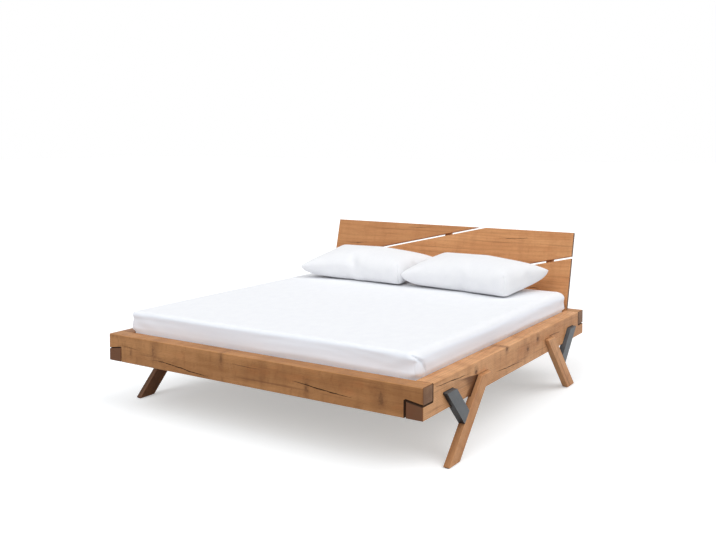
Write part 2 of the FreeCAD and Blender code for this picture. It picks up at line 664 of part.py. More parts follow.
def board(outline):
    """One headboard board, cut level where it stands on the head beam."""
    body = slant_prism(outline, 0.0, BOARD_THICKNESS)
    keep = block(-HALF_WIDTH, HALF_WIDTH, 0.0, 2 * FRAME_LENGTH, BEAM_TOP, BEAM_TOP + 2 * BOARD_HEIGHT)
    body = body.common(keep).removeSplitter().Solids[0]
    long_edges = []
    for edge in body.Edges:
        middle = edge.valueAt((edge.FirstParameter + edge.LastParameter) / 2.0)
        along_depth = abs(edge.tangentAt(edge.FirstParameter).dot(BACK)) > 0.9
        if not along_depth and middle.z > BEAM_TOP + 0.1:
            long_edges.append(edge)
    body = body.makeChamfer(BOARD_EDGE, long_edges)
    return cut(body, [screw_hole(seat, BACK * -1, BATTEN_SCREW_LENGTH) for seat in batten_screw_seats()])


def batten(x):
    """Rear batten whose foot is a tenon in the head beam."""
    half = BATTEN_WIDTH / 2.0
    body = slant_prism([(x - half, -TENON_DEPTH * 1.3), (x + half, -TENON_DEPTH * 1.3), (x + half, BATTEN_TOP),
                        (x - half, BATTEN_TOP)], BOARD_THICKNESS, BOARD_THICKNESS + BATTEN_THICKNESS)
    keep = block(-HALF_WIDTH, HALF_WIDTH, 0.0, 2 * FRAME_LENGTH, BEAM_TOP - TENON_DEPTH, BEAM_TOP + 2 * BOARD_HEIGHT)
    body = body.common(keep).removeSplitter().Solids[0]
    holes = [screw_hole(seat, BACK * -1, BATTEN_SCREW_LENGTH) for seat in batten_screw_seats()]
    return cut(body, holes + [lock_hole(x)])


def slat_starts():
    """Y of each slat's foot side edge."""
    first = BASE_START + SLAT_END_INSET
    last = BASE_END - SLAT_END_INSET - SLAT_WIDTH
    return [first + (last - first) * step / (SLAT_COUNT - 1) for step in range(SLAT_COUNT)]


def base_stiles():
    """Two long stiles of the right slatted base."""
    inner = block(BASE_INNER_X, BASE_INNER_X + STILE_WIDTH, BASE_START, BASE_END, BEARER_TOP, STILE_TOP)
    outer = block(BASE_OUTER_X - STILE_WIDTH, BASE_OUTER_X, BASE_START, BASE_END, BEARER_TOP, STILE_TOP)
    return group([inner, outer])


def base_ends():
    """Two cross rails between the stiles of the right slatted base."""
    x0 = BASE_INNER_X + STILE_WIDTH
    x1 = BASE_OUTER_X - STILE_WIDTH
    foot = block(x0, x1, BASE_START, BASE_START + STILE_WIDTH, BEARER_TOP, STILE_TOP)
    head = block(x0, x1, BASE_END - STILE_WIDTH, BASE_END, BEARER_TOP, STILE_TOP)
    return group([foot, head])


def base_slats():
    """Slats of the right slatted base."""
    slats = []
    for y in slat_starts():
        slat = block(BASE_INNER_X, BASE_OUTER_X, y, y + SLAT_WIDTH, SLAT_BOTTOM, SLAT_TOP)
        slats.append(slat.makeFillet(2.0, [edge for edge in slat.Edges if edge.BoundBox.XLength > SLAT_WIDTH * 2]))
    return group(slats)


def base_pads():
    """Rubber pads between slats and stiles of the right slatted base."""
    pads = []
    for y in slat_starts():
        y0 = y + 4.0
        y1 = y + SLAT_WIDTH - 4.0
        pads.append(block(BASE_INNER_X + 1, BASE_INNER_X + 1 + PAD_LENGTH, y0, y1, STILE_TOP, SLAT_BOTTOM))
        pads.append(block(BASE_OUTER_X - 1 - PAD_LENGTH, BASE_OUTER_X - 1, y0, y1, STILE_TOP, SLAT_BOTTOM))
    return group(pads)


def mattress_block(inset, bottom):
    """Rounded block of the mattress, drawn in by an inset on sides and top."""
    half = RAIL_INNER - MATTRESS_SIDE_PLAY - inset
    y0 = INNER_START + MATTRESS_END_PLAY + inset
    y1 = INNER_END - MATTRESS_END_PLAY - inset
    body = block(-half, half, y0, y1, bottom, MATTRESS_TOP - inset)
    body = body.makeFillet(MATTRESS_CORNER - inset, [edge for edge in body.Edges if edge.BoundBox.ZLength > 100])
    rim = [edge for edge in body.Edges if edge.BoundBox.ZMin > MATTRESS_TOP - inset - 0.1]
    return body.makeFillet(MATTRESS_ROUND - inset, rim)


def mattress():
    """Mattress core."""
    return mattress_block(SHEET_THICKNESS, MATTRESS_BOTTOM)


def fitted_sheet():
    """Fitted sheet drawn over the top and sides of the mattress."""
    skin = mattress_block(0.0, MATTRESS_BOTTOM + SHEET_HEM)
    return cut(skin, [mattress_block(SHEET_THICKNESS, MATTRESS_BOTTOM)])


def pillow_ring(level, end_inset, side_inset, corner, sag_long, sag_short):
    """Closed outline of a pillow at one height: drawn in sides and rounded corners."""
    a = PILLOW_LENGTH / 2.0 - end_inset
    b = PILLOW_DEPTH / 2.0 - side_inset
    r = corner
    k = r * (1.0 - math.sqrt(0.5))

    def arc(p, q, s):
        return Part.Arc(V(p[0], p[1], level), V(q[0], q[1], level), V(s[0], s[1], level)).toShape()

    return Part.Wire([
        arc((-a + r, -b), (0, -b + sag_long), (a - r, -b)), arc((a - r, -b), (a - k, -b + k), (a, -b + r)),
        arc((a, -b + r), (a - sag_short, 0), (a, b - r)), arc((a, b - r), (a - k, b - k), (a - r, b)),
        arc((a - r, b), (0, b - sag_long), (-a + r, b)), arc((-a + r, b), (-a + k, b - k), (-a, b - r)),
        arc((-a, b - r), (-a + sag_short, 0), (-a, -b + r)), arc((-a, -b + r), (-a + k, -b + k), (-a + r, -b))])


def pillow(x, y, turn):
    """Filled pillow with its crown, tilted up toward the headboard and set down on the sheet."""
    rings = [(-1.0, 165.0, 132.0, 70.0, -6.0, -5.0), (-0.82, 94.0, 76.0, 66.0, -4.0, -4.0),
             (-0.45, 38.0, 30.0, 50.0, 5.0, 4.0), (0.0, 0.0, 0.0, 16.0, 22.0, 18.0),
             (0.42, 44.0, 28.0, 50.0, 6.0, 5.0), (0.78, 128.0, 78.0, 66.0, -4.0, -4.0),
             (1.0, 240.0, 146.0, 62.0, -6.0, -5.0)]
    scale = PILLOW_DEPTH / 450.0
    end_scale = PILLOW_LENGTH / 800.0
    wires = []
    for share, end_inset, side_inset, corner, sag_long, sag_short in rings:
        height = PILLOW_CROWN if share > 0 else PILLOW_UNDER
        wires.append(pillow_ring(share * height, end_inset * end_scale, side_inset * scale, corner * scale,
                                 sag_long, sag_short))
    body = Part.makeLoft(wires, True, False)
    body.rotate(V(0, 0, 0), V(1, 0, 0), PILLOW_TILT)
    body.rotate(V(0, 0, 0), V(0, 0, 1), turn)
    lift = MATTRESS_TOP + REST_CLEARANCE - body.optimalBoundingBox().ZMin
    body.translate(V(x, y, lift))
    return body


def build_nodes():
    """Every named node of the assembly in the working frame."""
    nodes = {}
    right_rail = rail()
    nodes["right_rail"] = right_rail
    nodes["left_rail"] = mirror_x(right_rail)
    nodes["foot_beam"] = foot_beam()
    nodes["head_beam"] = head_beam()
    fixing, ring, insert = corner_parts()
    nodes["corner_bolts"] = group(four(fixing))
    nodes["corner_washers"] = group(four(ring))
    nodes["corner_inserts"] = group(four(insert))

    names = ["front_right", "front_left", "rear_right", "rear_left"]
    for name, shape in zip(names, four(leg())):
        nodes["leg_" + name] = shape
    for name, shape in zip(names, four(brace())):
        nodes["brace_" + name] = shape
    nodes["foot_glides"] = group(four(glide()))
    bolts, rings, inserts = [], [], []
    for y, z in leg_bolt_spots():
        fixing, ring = side_bolt(y, z, LEG_INNER_X - SEAT_X + INSERT_LENGTH)
        bolts += four(fixing)
        rings += four(ring)
        inserts += four(sleeve(V(LEG_INNER_X, y, z), V(1, 0, 0), BOLT_RADIUS, INSERT_LENGTH))
    nodes["leg_bolts"] = group(bolts)
    nodes["leg_washers"] = group(rings)
    nodes["leg_inserts"] = group(inserts)
    y, z = brace_bolt_spot()
    fixing, ring = side_bolt(y, z, LEG_INNER_X - SEAT_X + BRACE_WALL + NUT_HEIGHT)
    nut = hexagon(V(LEG_INNER_X + BRACE_WALL, y, z), V(1, 0, 0), NUT_SIZE / 2.0, NUT_HEIGHT)
    nut = nut.cut(rod(V(LEG_INNER_X, y, z), V(1, 0, 0), BOLT_RADIUS + HOLE_PLAY, RAIL_DEPTH))
    nodes["brace_bolts"] = group(four(fixing))
    nodes["brace_washers"] = group(four(ring))
    nodes["brace_nuts"] = group(four(nut))

    right_ledger = ledger()
    nodes["right_ledger"] = right_ledger
    nodes["left_ledger"] = mirror_x(right_ledger)
    screws = [screw(seat, V(1, 0, 0), LEDGER_SCREW_LENGTH) for seat in ledger_screw_seats()]
    nodes["ledger_screws"] = group(screws + [mirror_x(each) for each in screws])
    nodes["centre_beam"] = centre_beam()
    shoe = hanger()
    nodes["centre_beam_hangers"] = group([shoe, mirror_y(shoe)])
    screws = [hanger_screw(seat) for seat in hanger_screw_seats()]
    nodes["hanger_screws"] = group(screws + [mirror_y(each) for each in screws])
    nodes["centre_post"] = centre_post()
    seats = [V(0, MID_Y + side * 14.0, BEARER_TOP) for side in (-1, 1)]
    nodes["centre_post_screws"] = group([screw(seat, V(0, 0, -1), POST_SCREW) for seat in seats])
    nodes["centre_foot_insert"] = rod_insert()
    nodes["centre_foot"] = levelling_foot()

    nodes["headboard_upper_board"] = board(upper_board_outline())
    nodes["headboard_middle_board"] = board(middle_board_outline())
    nodes["headboard_lower_board"] = board(lower_board_outline())
    nodes["headboard_left_batten"] = batten(BATTEN_XS[0])
    nodes["headboard_middle_batten"] = batten(BATTEN_XS[1])
    nodes["headboard_right_batten"] = batten(BATTEN_XS[2])
    nodes["batten_screws"] = group([screw(seat, BACK * -1, BATTEN_SCREW_LENGTH) for seat in batten_screw_seats()])
    locks = [lock_parts(x) for x in BATTEN_XS]
    nodes["batten_lock_bolts"] = group([each[0] for each in locks])
    nodes["batten_lock_washers"] = group([each[1] for each in locks])
    nodes["batten_lock_inserts"] = group([each[2] for each in locks])

    for part_name, maker in (("stiles", base_stiles), ("end_rails", base_ends), ("slats", base_slats),
                             ("slat_pads", base_pads)):
        right = maker()
        nodes["right_base_" + part_name] = right
        nodes["left_base_" + part_name] = mirror_x(right)

    nodes["mattress"] = mattress()
    nodes["fitted_sheet"] = fitted_sheet()
    nodes["pillow_left"] = pillow(LEFT_PILLOW_SHARE * MATTRESS_WIDTH, FRAME_LENGTH - LEFT_PILLOW_SETBACK,
                                  LEFT_PILLOW_TURN)
    nodes["pillow_right"] = pillow(RIGHT_PILLOW_SHARE * MATTRESS_WIDTH, FRAME_LENGTH - RIGHT_PILLOW_SETBACK,
                                   RIGHT_PILLOW_TURN)
    return nodes


def export(nodes):
    """Write one STEP file per node, moved so that the origin is the bottom centre of the whole part."""
    os.makedirs("parts", exist_ok=True)
    for old in os.listdir("parts"):
        os.remove(os.path.join("parts", old))
    whole = FreeCAD.BoundBox()
    for name, shape in nodes.items():
        shape.translate(V(0, FOOT_Y, 0))
        shape.exportStep("parts/" + name + ".step")
        box = shape.optimalBoundingBox()
        whole.add(box)
        print(name, len(shape.Solids), "valid" if shape.isValid() else "NOT VALID", round(shape.Volume / 1e3, 1),
              [round(v, 1) for v in (box.XMin, box.XMax, box.YMin, box.YMax, box.ZMin, box.ZMax)])
    print("whole", len(nodes), [round(v, 1) for v in (whole.XMin, whole.XMax, whole.YMin, whole.YMax, whole.ZMin, whole.ZMax)])


export(build_nodes())
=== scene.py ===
"""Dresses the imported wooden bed: oak frame, slatted bases, mattress, sheet, pillows and studio."""

from __future__ import annotations

import logging
import math
import sys
from dataclasses import dataclass
from dataclasses import field
from dataclasses import replace
from enum import Enum
from typing import Callable
from typing import Sequence
from typing import Union

import bmesh
import bpy
from mathutils import Euler
from mathutils import Matrix
from mathutils import Vector
from mathutils import noise


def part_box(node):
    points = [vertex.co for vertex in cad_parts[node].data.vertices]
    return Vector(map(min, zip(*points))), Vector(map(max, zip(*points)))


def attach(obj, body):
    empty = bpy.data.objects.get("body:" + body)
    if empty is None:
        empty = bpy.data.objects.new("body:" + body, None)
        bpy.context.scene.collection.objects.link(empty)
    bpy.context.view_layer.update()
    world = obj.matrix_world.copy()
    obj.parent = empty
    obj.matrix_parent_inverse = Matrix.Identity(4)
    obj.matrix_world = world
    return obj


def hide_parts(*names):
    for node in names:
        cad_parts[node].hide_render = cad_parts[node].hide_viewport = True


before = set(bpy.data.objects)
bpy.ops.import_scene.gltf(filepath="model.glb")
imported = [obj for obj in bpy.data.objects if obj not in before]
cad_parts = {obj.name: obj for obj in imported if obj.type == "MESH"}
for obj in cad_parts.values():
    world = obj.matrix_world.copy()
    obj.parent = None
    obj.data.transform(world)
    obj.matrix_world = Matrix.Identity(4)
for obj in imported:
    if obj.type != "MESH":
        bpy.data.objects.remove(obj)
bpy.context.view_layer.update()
REPORT = logging.getLogger("bed")

Colour = tuple[float, float, float]
Socket = bpy.types.NodeSocket
Value = Union[Socket, float, Sequence[float]]
Place = tuple[float, float, float]
Paths = tuple[tuple[tuple[float, float], ...], ...]


def srgb(red: int, green: int, blue: int) -> Colour:
    """Turn a screen colour into the linear one that shaders take.

    Args:
        red: Red from 0 to 255.
        green: Green from 0 to 255.
        blue: Blue from 0 to 255.

    Returns:
        The linear colour.
    """
    def line(level: int) -> float:
        """Undo the screen curve of one channel."""
        share = level / 255.0
        return share / 12.92 if share <= 0.04045 else ((share + 0.055) / 1.055) ** 2.4

    return line(red), line(green), line(blue)


def smooth_step(low: float, high: float, value: float) -> float:
    """Give the share from 0 to 1 of a smooth rise between two values."""
    share = min(max((value - low) / (high - low), 0.0), 1.0)
    return share * share * (3.0 - 2.0 * share)


class Fibre(Enum):
    """Directions in which the fibres of the bed's timbers run."""

    RAIL = (0.0, 1.0, 0.0)
    END_BEAM = (1.0, 0.0, 0.0)
    POST = (0.0, 0.0, 1.0)
    FRONT_LEG = (0.0, 0.7071, 0.7071)
    REAR_LEG = (0.0, -0.7071, 0.7071)
    BATTEN = (0.0, 0.247, 0.969)

    def turn(self) -> Matrix:
        """Give the turn that lays the fibres along X."""
        return Vector(self.value).rotation_difference(Vector((1.0, 0.0, 0.0))).to_matrix()


# The sockets of a mix node that take and give colours.
MIX_SHARE = 0
MIX_FIRST = 6
MIX_SECOND = 7
MIX_RESULT = 2


class ShaderBoard:
    """Writes the nodes of one material."""

    def __init__(self, name: str) -> None:
        """Start a material with a bare surface shader.

        Args:
            name: The material's name.
        """
        self.material = bpy.data.materials.new(name)
        self.material.use_nodes = True
        self.tree = self.material.node_tree
        self.tree.nodes.clear()
        self.surface = self.tree.nodes.new("ShaderNodeBsdfPrincipled")
        output = self.tree.nodes.new("ShaderNodeOutputMaterial")
        self.tree.links.new(self.surface.outputs["BSDF"], output.inputs["Surface"])

    def feed(self, target: Socket, value: Value) -> None:
        """Link a socket into target, or set target to a plain value.

        Args:
            target: The input to fill.
            value: A socket, a number, a vector or a colour.
        """
        if isinstance(value, bpy.types.NodeSocket):
            self.tree.links.new(value, target)
        elif target.type == "RGBA" and len(value) == 3:
            target.default_value = (*value, 1.0)
        else:
            target.default_value = value

    def set(self, name: str, value: Value) -> None:
        """Fill one input of the surface shader."""
        self.feed(self.surface.inputs[name], value)

    def math(self, operation: str, first: Value, second: Value = 0.0) -> Socket:
        """Add a number node.

        Args:
            operation: The node's operation.
            first: Its first input.
            second: Its second input.

        Returns:
            The result's socket.
        """
        node = self.tree.nodes.new("ShaderNodeMath")
        node.operation = operation
        self.feed(node.inputs[0], first)
        self.feed(node.inputs[1], second)
        return node.outputs[0]

    def times(self, first: Value, second: Value) -> Socket:
        """Multiply two numbers."""
        return self.math("MULTIPLY", first, second)

    def plus(self, first: Value, second: Value) -> Socket:
        """Add two numbers."""
        return self.math("ADD", first, second)

    def minus(self, first: Value, second: Value) -> Socket:
        """Take the second number from the first."""
        return self.math("SUBTRACT", first, second)

    def vector(self, operation: str, first: Value, second: Value = (0.0, 0.0, 0.0)) -> Socket:
        """Add a vector node.

        Args:
            operation: The node's operation.
            first: Its first input.
            second: Its second input.

        Returns:
            The result's socket, a number for lengths and dot products.
        """
        node = self.tree.nodes.new("ShaderNodeVectorMath")
        node.operation = operation
        self.feed(node.inputs[0], first)
        self.feed(node.inputs[1], second)
        return node.outputs["Value" if operation in ("LENGTH", "DOT_PRODUCT") else "Vector"]

    def remap(
        self, value: Value, low: float, high: float, to_low: float = 0.0, to_high: float = 1.0
    ) -> Socket:
        """Move a number smoothly from one range to another.

        Args:
            value: The number.
            low: The start of its range.
            high: The end of its range.
            to_low: The result at the start.
            to_high: The result at the end.

        Returns:
            The result's socket.
        """
        node = self.tree.nodes.new("ShaderNodeMapRange")
        node.interpolation_type = "SMOOTHSTEP"
        names = ("Value", "From Min", "From Max", "To Min", "To Max")
        for name, part in zip(names, (value, low, high, to_low, to_high)):
            self.feed(node.inputs[name], part)
        return node.outputs["Result"]

    def noise(self, place: Socket, scale: Sequence[float], detail: float = 2.0, rough: float = 0.5) -> Socket:
        """Add a noise whose grain differs along the three axes.

        Args:
            place: The coordinates.
            scale: Grains per metre along each axis.
            detail: Octaves of finer grain.
            rough: How strong the finer grain is.

        Returns:
            The noise's socket, about 0.5 on average.
        """
        node = self.tree.nodes.new("ShaderNodeTexNoise")
        self.feed(node.inputs["Vector"], self.vector("MULTIPLY", place, scale))
        node.inputs["Scale"].default_value = 1.0
        node.inputs["Detail"].default_value = detail
        node.inputs["Roughness"].default_value = rough
        return node.outputs[0]

    def mix(self, share: Value, first: Value, second: Value) -> Socket:
        """Mix two colours.

        Args:
            share: The second colour's share.
            first: The first colour.
            second: The second colour.

        Returns:
            The mixed colour's socket.
        """
        node = self.tree.nodes.new("ShaderNodeMix")
        node.data_type = "RGBA"
        self.feed(node.inputs[MIX_SHARE], share)
        self.feed(node.inputs[MIX_FIRST], first)
        self.feed(node.inputs[MIX_SECOND], second)
        return node.outputs[MIX_RESULT]

    def coordinates(self, kind: str = "Object") -> Socket:
        """Give a socket of the texture coordinates."""
        return self.tree.nodes.new("ShaderNodeTexCoord").outputs[kind]

    def cloth_map(self) -> Socket:
        """Give the cloth's own flat coordinates.

        Returns:
            The coordinates' socket.
        """
        node = self.tree.nodes.new("ShaderNodeUVMap")
        node.uv_map = CLOTH_MAP
        return node.outputs["UV"]

    def attribute(self, name: str) -> Socket:
        """Give a number that the mesh carries.

        Args:
            name: The attribute's name.

        Returns:
            The number's socket.
        """
        node = self.tree.nodes.new("ShaderNodeAttribute")
        node.attribute_name = name
        return node.outputs["Fac"]

    def placed(self, place: Socket, shift: Sequence[float], turn: Euler) -> Socket:
        """Turn and move coordinates.

        Args:
            place: The coordinates.
            shift: How far they move after the turn.
            turn: How they turn.

        Returns:
            The new coordinates' socket.
        """
        node = self.tree.nodes.new("ShaderNodeMapping")
        self.feed(node.inputs["Vector"], place)
        node.inputs["Location"].default_value = shift
        node.inputs["Rotation"].default_value = turn
        return node.outputs["Vector"]

    def parts(self, value: Socket) -> tuple[Socket, Socket, Socket]:
        """Split a vector into its three numbers.

        Args:
            value: The vector.

        Returns:
            The sockets of X, Y and Z.
        """
        node = self.tree.nodes.new("ShaderNodeSeparateXYZ")
        self.feed(node.inputs[0], value)
        return node.outputs[0], node.outputs[1], node.outputs[2]

    def relief(self, height: Socket, strength: float, distance: float) -> None:
        """Give the surface a fine relief.

        Args:
            height: The relief's height.
            strength: How strongly it shows.
            distance: Its depth in metres.
        """
        node = self.tree.nodes.new("ShaderNodeBump")
        for name, value in (("Strength", strength), ("Distance", distance), ("Height", height)):
            self.feed(node.inputs[name], value)
        self.set("Normal", node.outputs["Normal"])


CLOTH_MAP = "cloth"
# Face attribute on the walls of cut cracks and grooves, where the timber paints shade.
GROOVE_MARK = "groove"


@dataclass(frozen=True)
class Figure:
    """One layer of a timber's figure, in grains per metre along and across the fibres."""

    along: float
    across: float
    detail: float
    rough: float = 0.5
    low: float = 0.0
    high: float = 1.0

    def draw(self, board: ShaderBoard, local: Socket) -> Socket:
        """Give the layer's noise."""
        return board.noise(local, (self.along, self.across, self.across), self.detail, self.rough)

    def shown(self, board: ShaderBoard, local: Socket) -> Socket:
        """Give the layer's share, which rises from 0 at low to 1 at high."""
        return board.remap(self.draw(board, local), self.low, self.high)


WANDER = Figure(0.8, 5.0, 2.0)
PATCHES = Figure(1.3, 9.0, 3.0, 0.6)
BANDS = Figure(15.0, 3.0, 1.5)
BLUSH = Figure(4.5, 13.0, 3.0, 0.6, 0.52, 0.72)
WIDE_STREAKS = Figure(1.5, 46.0, 4.0, 0.6, 0.56, 0.74)
LONG_STREAKS = Figure(1.0, 62.0, 4.0, 0.6, 0.56, 0.74)
FIBRES = Figure(9.0, 300.0, 3.0, 0.65)
PORES = Figure(28.0, 900.0, 1.0, 0.5, 0.60, 0.72)
FLECKS = Figure(48.0, 26.0, 3.0, 0.6, 0.50, 0.75)
GNARL = Figure(90.0, 90.0, 2.0, 0.6)
NOISE_MEAN = 0.5
ACROSS_FIBRES = (0.0, 1.0, 1.0)

# Where a layer's share starts and where it is full.
PATCH_SPAN = (0.30, 0.70)
# Patches where edges take wear and a painted highlight.
WEAR_AND_HIGHLIGHT_PATCHES = (0.30, 0.60)
DARK_BANDS = (0.48, 0.72)
LIGHT_BANDS = (0.30, 0.46)
RING_RISE = (0.35, 0.85)
RING_FALL = (0.90, 1.00)
DARK_FIBRES = (0.20, 0.80)
ROUGH_FIBRES = (0.25, 0.75)
SPOT_SPAN = (0.35, 0.65)
GRAIN_SPAN = (0.30, 0.70)

# Where a knot's parts start and end, in its radii.
KNOT_BEND = (0.50, 4.00)
KNOT_CORE = (0.30, 1.15)
KNOT_HALO = (0.80, 3.00)

# Directions of faces between which a tint comes in.
# Upward faces, which take painted light.
TOP_FACES = (0.35, 0.90)
# Faces looking to the foot, which take painted shade.
FOOT_FACES = (-0.45, -0.65)
# Downward faces, which take painted shade on coats.
LOWER_FACES = (-0.45, -0.65)
# Upright to lying cloth faces, where the painted side light fades out.
LYING_FACES = (0.25, 0.75)
END_GRAIN = (0.70, 0.92)
EASED_EDGES = (0.80, 0.985)
# Faces half turned to the fibres, which take the painted rim shade.
RIM_OUTSIDE = (0.30, 0.55)
RIM_INSIDE = (0.90, 0.995)


@dataclass(frozen=True)
class Knot:
    """A knot in a timber: where it shows, how wide it is and which way the branch ran."""

    place: Place
    radius: float
    across: Place = (0.2, 1.0, 1.0)
    strength: float = 0.8
    halo_share: float = 0.5
    ragged: float = 0.9
    bend: float = 0.014

    def draw(self, board: ShaderBoard, place: Socket, gnarl: Socket) -> tuple[Socket, Socket, Socket]:
        """Write the knot.

        Args:
            board: The timber's material.
            place: The coordinates.
            gnarl: The noise that makes the knot ragged.

        Returns:
            How far the growth rings bend round it, and the shares of its core and its halo.
        """
        offset = board.vector("MULTIPLY", board.vector("SUBTRACT", place, self.place), self.across)
        away = board.math("DIVIDE", board.vector("LENGTH", offset), self.radius)
        away = board.plus(away, board.remap(gnarl, 0.0, 1.0, -self.ragged, self.ragged))
        bend = board.remap(away, *KNOT_BEND, self.bend, 0.0)
        core = board.remap(away, *KNOT_CORE, self.strength, 0.0)
        halo = board.remap(away, *KNOT_HALO, self.strength * self.halo_share, 0.0)
        return bend, core, halo


@dataclass(frozen=True)
class TimberFinish:
    """Oiled timber with growth rings, pores, flecks, knots and darker end grain."""

    light: Colour
    middle: Colour
    dark: Colour
    streak: Colour
    end: Colour
    warm: Colour = srgb(188, 116, 68)
    knot: Colour = srgb(72, 43, 27)
    # Painted shade: near-black colour of the walls of cracks and grooves, standing in for the shade inside
    # them.
    groove_painted_shade: Colour = srgb(40, 24, 16)
    streaks: Figure = WIDE_STREAKS
    ring_gap: float = 0.0055
    wander: float = 0.07
    heart: Place = (0.0, 0.035, -0.16)
    ring_share: float = 0.22
    streak_share: float = 0.50
    fleck_share: float = 0.16
    band_share: float = 0.26
    warm_share: float = 0.28
    fibre_share: float = 0.20
    pore_share: float = 0.30
    end_ring_share: float = 0.55
    end_patch_share: float = 0.50
    # Share of that painted groove shade.
    groove_painted_shade_share: float = 0.90
    # Painted light: share of the light colour laid on upward faces, a lighter top standing in for light from
    # above.
    painted_top_light: float = 0.0
    # Painted shade: share of the dark colour laid on faces that look to the foot, standing in for the shade
    # on them.
    painted_foot_shade: float = 0.0
    # Edges lightened by wear, which also stands for a painted highlight along them.
    wear_and_highlight: float = 0.0
    # Painted shade: share of the streak colour laid on faces half turned to the fibres, a dark rim round the
    # end grain standing in for shade on its eased edges.
    rim: float = 0.0
    roughness: float = 0.50
    rougher: float = 0.12
    smoother: float = 0.04
    gloss: float = 0.18
    pore_relief: float = 0.70
    ring_relief: float = 0.35
    relief: float = 0.35
    relief_depth: float = 0.0008

    def build(
        self, name: str, centre: Sequence[float], fibre: Fibre, knots: Sequence[Knot] = ()
    ) -> bpy.types.Material:
        """Write the material for one timber.

        Args:
            name: The material's name.
            centre: The timber's middle.
            fibre: Which way its fibres run.
            knots: The knots that show on it.

        Returns:
            The material.
        """
        board = ShaderBoard(name)
        place = board.coordinates()
        turn = fibre.turn()
        local = board.placed(place, -(turn @ Vector(centre)), turn.to_euler())
        gnarl = GNARL.draw(board, place)
        marks = [knot.draw(board, place, gnarl) for knot in knots]
        rings = self.rings(board, local, [bend for bend, _, _ in marks])
        patches = PATCHES.draw(board, local)
        fibres = FIBRES.draw(board, local)
        pores = PORES.shown(board, local)
        colour = board.mix(board.remap(patches, *PATCH_SPAN), self.light, self.middle)
        colour = self.figured(board, local, colour, rings)
        colour = board.mix(board.remap(fibres, *DARK_FIBRES, self.fibre_share, 0.0), colour, self.dark)
        colour = board.mix(board.times(pores, self.pore_share), colour, self.streak)
        for _, core, halo in marks:
            colour = board.mix(halo, colour, self.streak)
            colour = board.mix(core, colour, self.knot)
        colour = self.faced(board, colour, fibre, rings, patches)
        # Painted shade: faces marked as crack and groove walls darken to the near-black colour.
        groove = board.times(board.attribute(GROOVE_MARK), self.groove_painted_shade_share)
        board.set("Base Color", board.mix(groove, colour, self.groove_painted_shade))
        rough = (self.roughness + self.rougher, self.roughness - self.smoother)
        board.set("Roughness", board.remap(fibres, *ROUGH_FIBRES, *rough))
        board.set("Specular IOR Level", self.gloss)
        height = board.minus(fibres, board.times(pores, self.pore_relief))
        height = board.minus(height, board.times(rings, self.ring_relief))
        board.relief(height, self.relief, self.relief_depth)
        return board.material

    def rings(self, board: ShaderBoard, local: Socket, bends: Sequence[Socket]) -> Socket:
        """Write the growth rings round the heart.

        Args:
            board: The timber's material.
            local: The coordinates along and across the fibres.
            bends: How far each knot bends the rings.

        Returns:
            The share of late wood.
        """
        outward = board.vector("SUBTRACT", board.vector("MULTIPLY", local, ACROSS_FIBRES), self.heart)
        wander = board.minus(WANDER.draw(board, local), NOISE_MEAN)
        radius = board.plus(board.vector("LENGTH", outward), board.times(wander, self.wander))
        for bend in bends:
            radius = board.plus(radius, bend)
        turns = board.math("FRACT", board.math("DIVIDE", radius, self.ring_gap))
        return board.times(board.remap(turns, *RING_RISE), board.remap(turns, *RING_FALL, 1.0, 0.0))

    def figured(self, board: ShaderBoard, local: Socket, colour: Socket, rings: Socket) -> Socket:
        """Lay bands, blush, rings, streaks and flecks over the plain timber.

        Args:
            board: The timber's material.
            local: The coordinates along and across the fibres.
            colour: The plain colour.
            rings: The share of late wood.

        Returns:
            The figured colour.
        """
        bands = BANDS.draw(board, local)
        layers = (
            (board.remap(bands, *DARK_BANDS, 0.0, self.band_share), self.dark),
            (board.remap(bands, *LIGHT_BANDS, self.band_share, 0.0), self.light),
            (board.times(BLUSH.shown(board, local), self.warm_share), self.warm),
            (board.times(rings, self.ring_share), self.dark),
            (board.times(self.streaks.shown(board, local), self.streak_share), self.streak),
            (board.times(FLECKS.shown(board, local), self.fleck_share), self.dark),
        )
        for share, tone in layers:
            colour = board.mix(share, colour, tone)
        return colour

    def faced(
        self, board: ShaderBoard, colour: Socket, fibre: Fibre, rings: Socket, patches: Socket
    ) -> Socket:
        """Tint the faces by where they look: painted light on the top, painted shade on the foot side and
        round the end grain, the darker end grain itself, and edges lightened by wear and a painted highlight.

        Args:
            board: The timber's material.
            colour: The colour of the long faces.
            fibre: Which way the fibres run.
            rings: The share of late wood.
            patches: The noise of lighter and darker patches.

        Returns:
            The tinted colour.
        """
        facing = board.coordinates("Normal")
        _, along, upward = board.parts(facing)
        # Painted light: upward faces turn lighter.
        if self.painted_top_light:
            colour = board.mix(board.remap(upward, *TOP_FACES, 0.0, self.painted_top_light), colour, self.light)
        # Painted shade: faces that look to the foot darken.
        if self.painted_foot_shade:
            colour = board.mix(board.remap(along, *FOOT_FACES, 0.0, self.painted_foot_shade), colour, self.dark)
        ending = board.math("ABSOLUTE", board.vector("DOT_PRODUCT", facing, fibre.value))
        cut = board.mix(board.times(rings, self.end_ring_share), self.end, self.streak)
        cut = board.mix(board.remap(patches, *PATCH_SPAN, 0.0, self.end_patch_share), cut, self.streak)
        colour = board.mix(board.remap(ending, *END_GRAIN), colour, cut)
        # Eased edges lighten in patches: wear, and a painted highlight.
        if self.wear_and_highlight:
            sizes = board.parts(board.vector("ABSOLUTE", facing))
            flat = board.math("MAXIMUM", board.math("MAXIMUM", sizes[0], sizes[1]), sizes[2])
            edge = board.times(board.remap(flat, *EASED_EDGES, 1.0, 0.0), board.remap(patches, *WEAR_AND_HIGHLIGHT_PATCHES))
            colour = board.mix(board.times(edge, self.wear_and_highlight), colour, self.light)
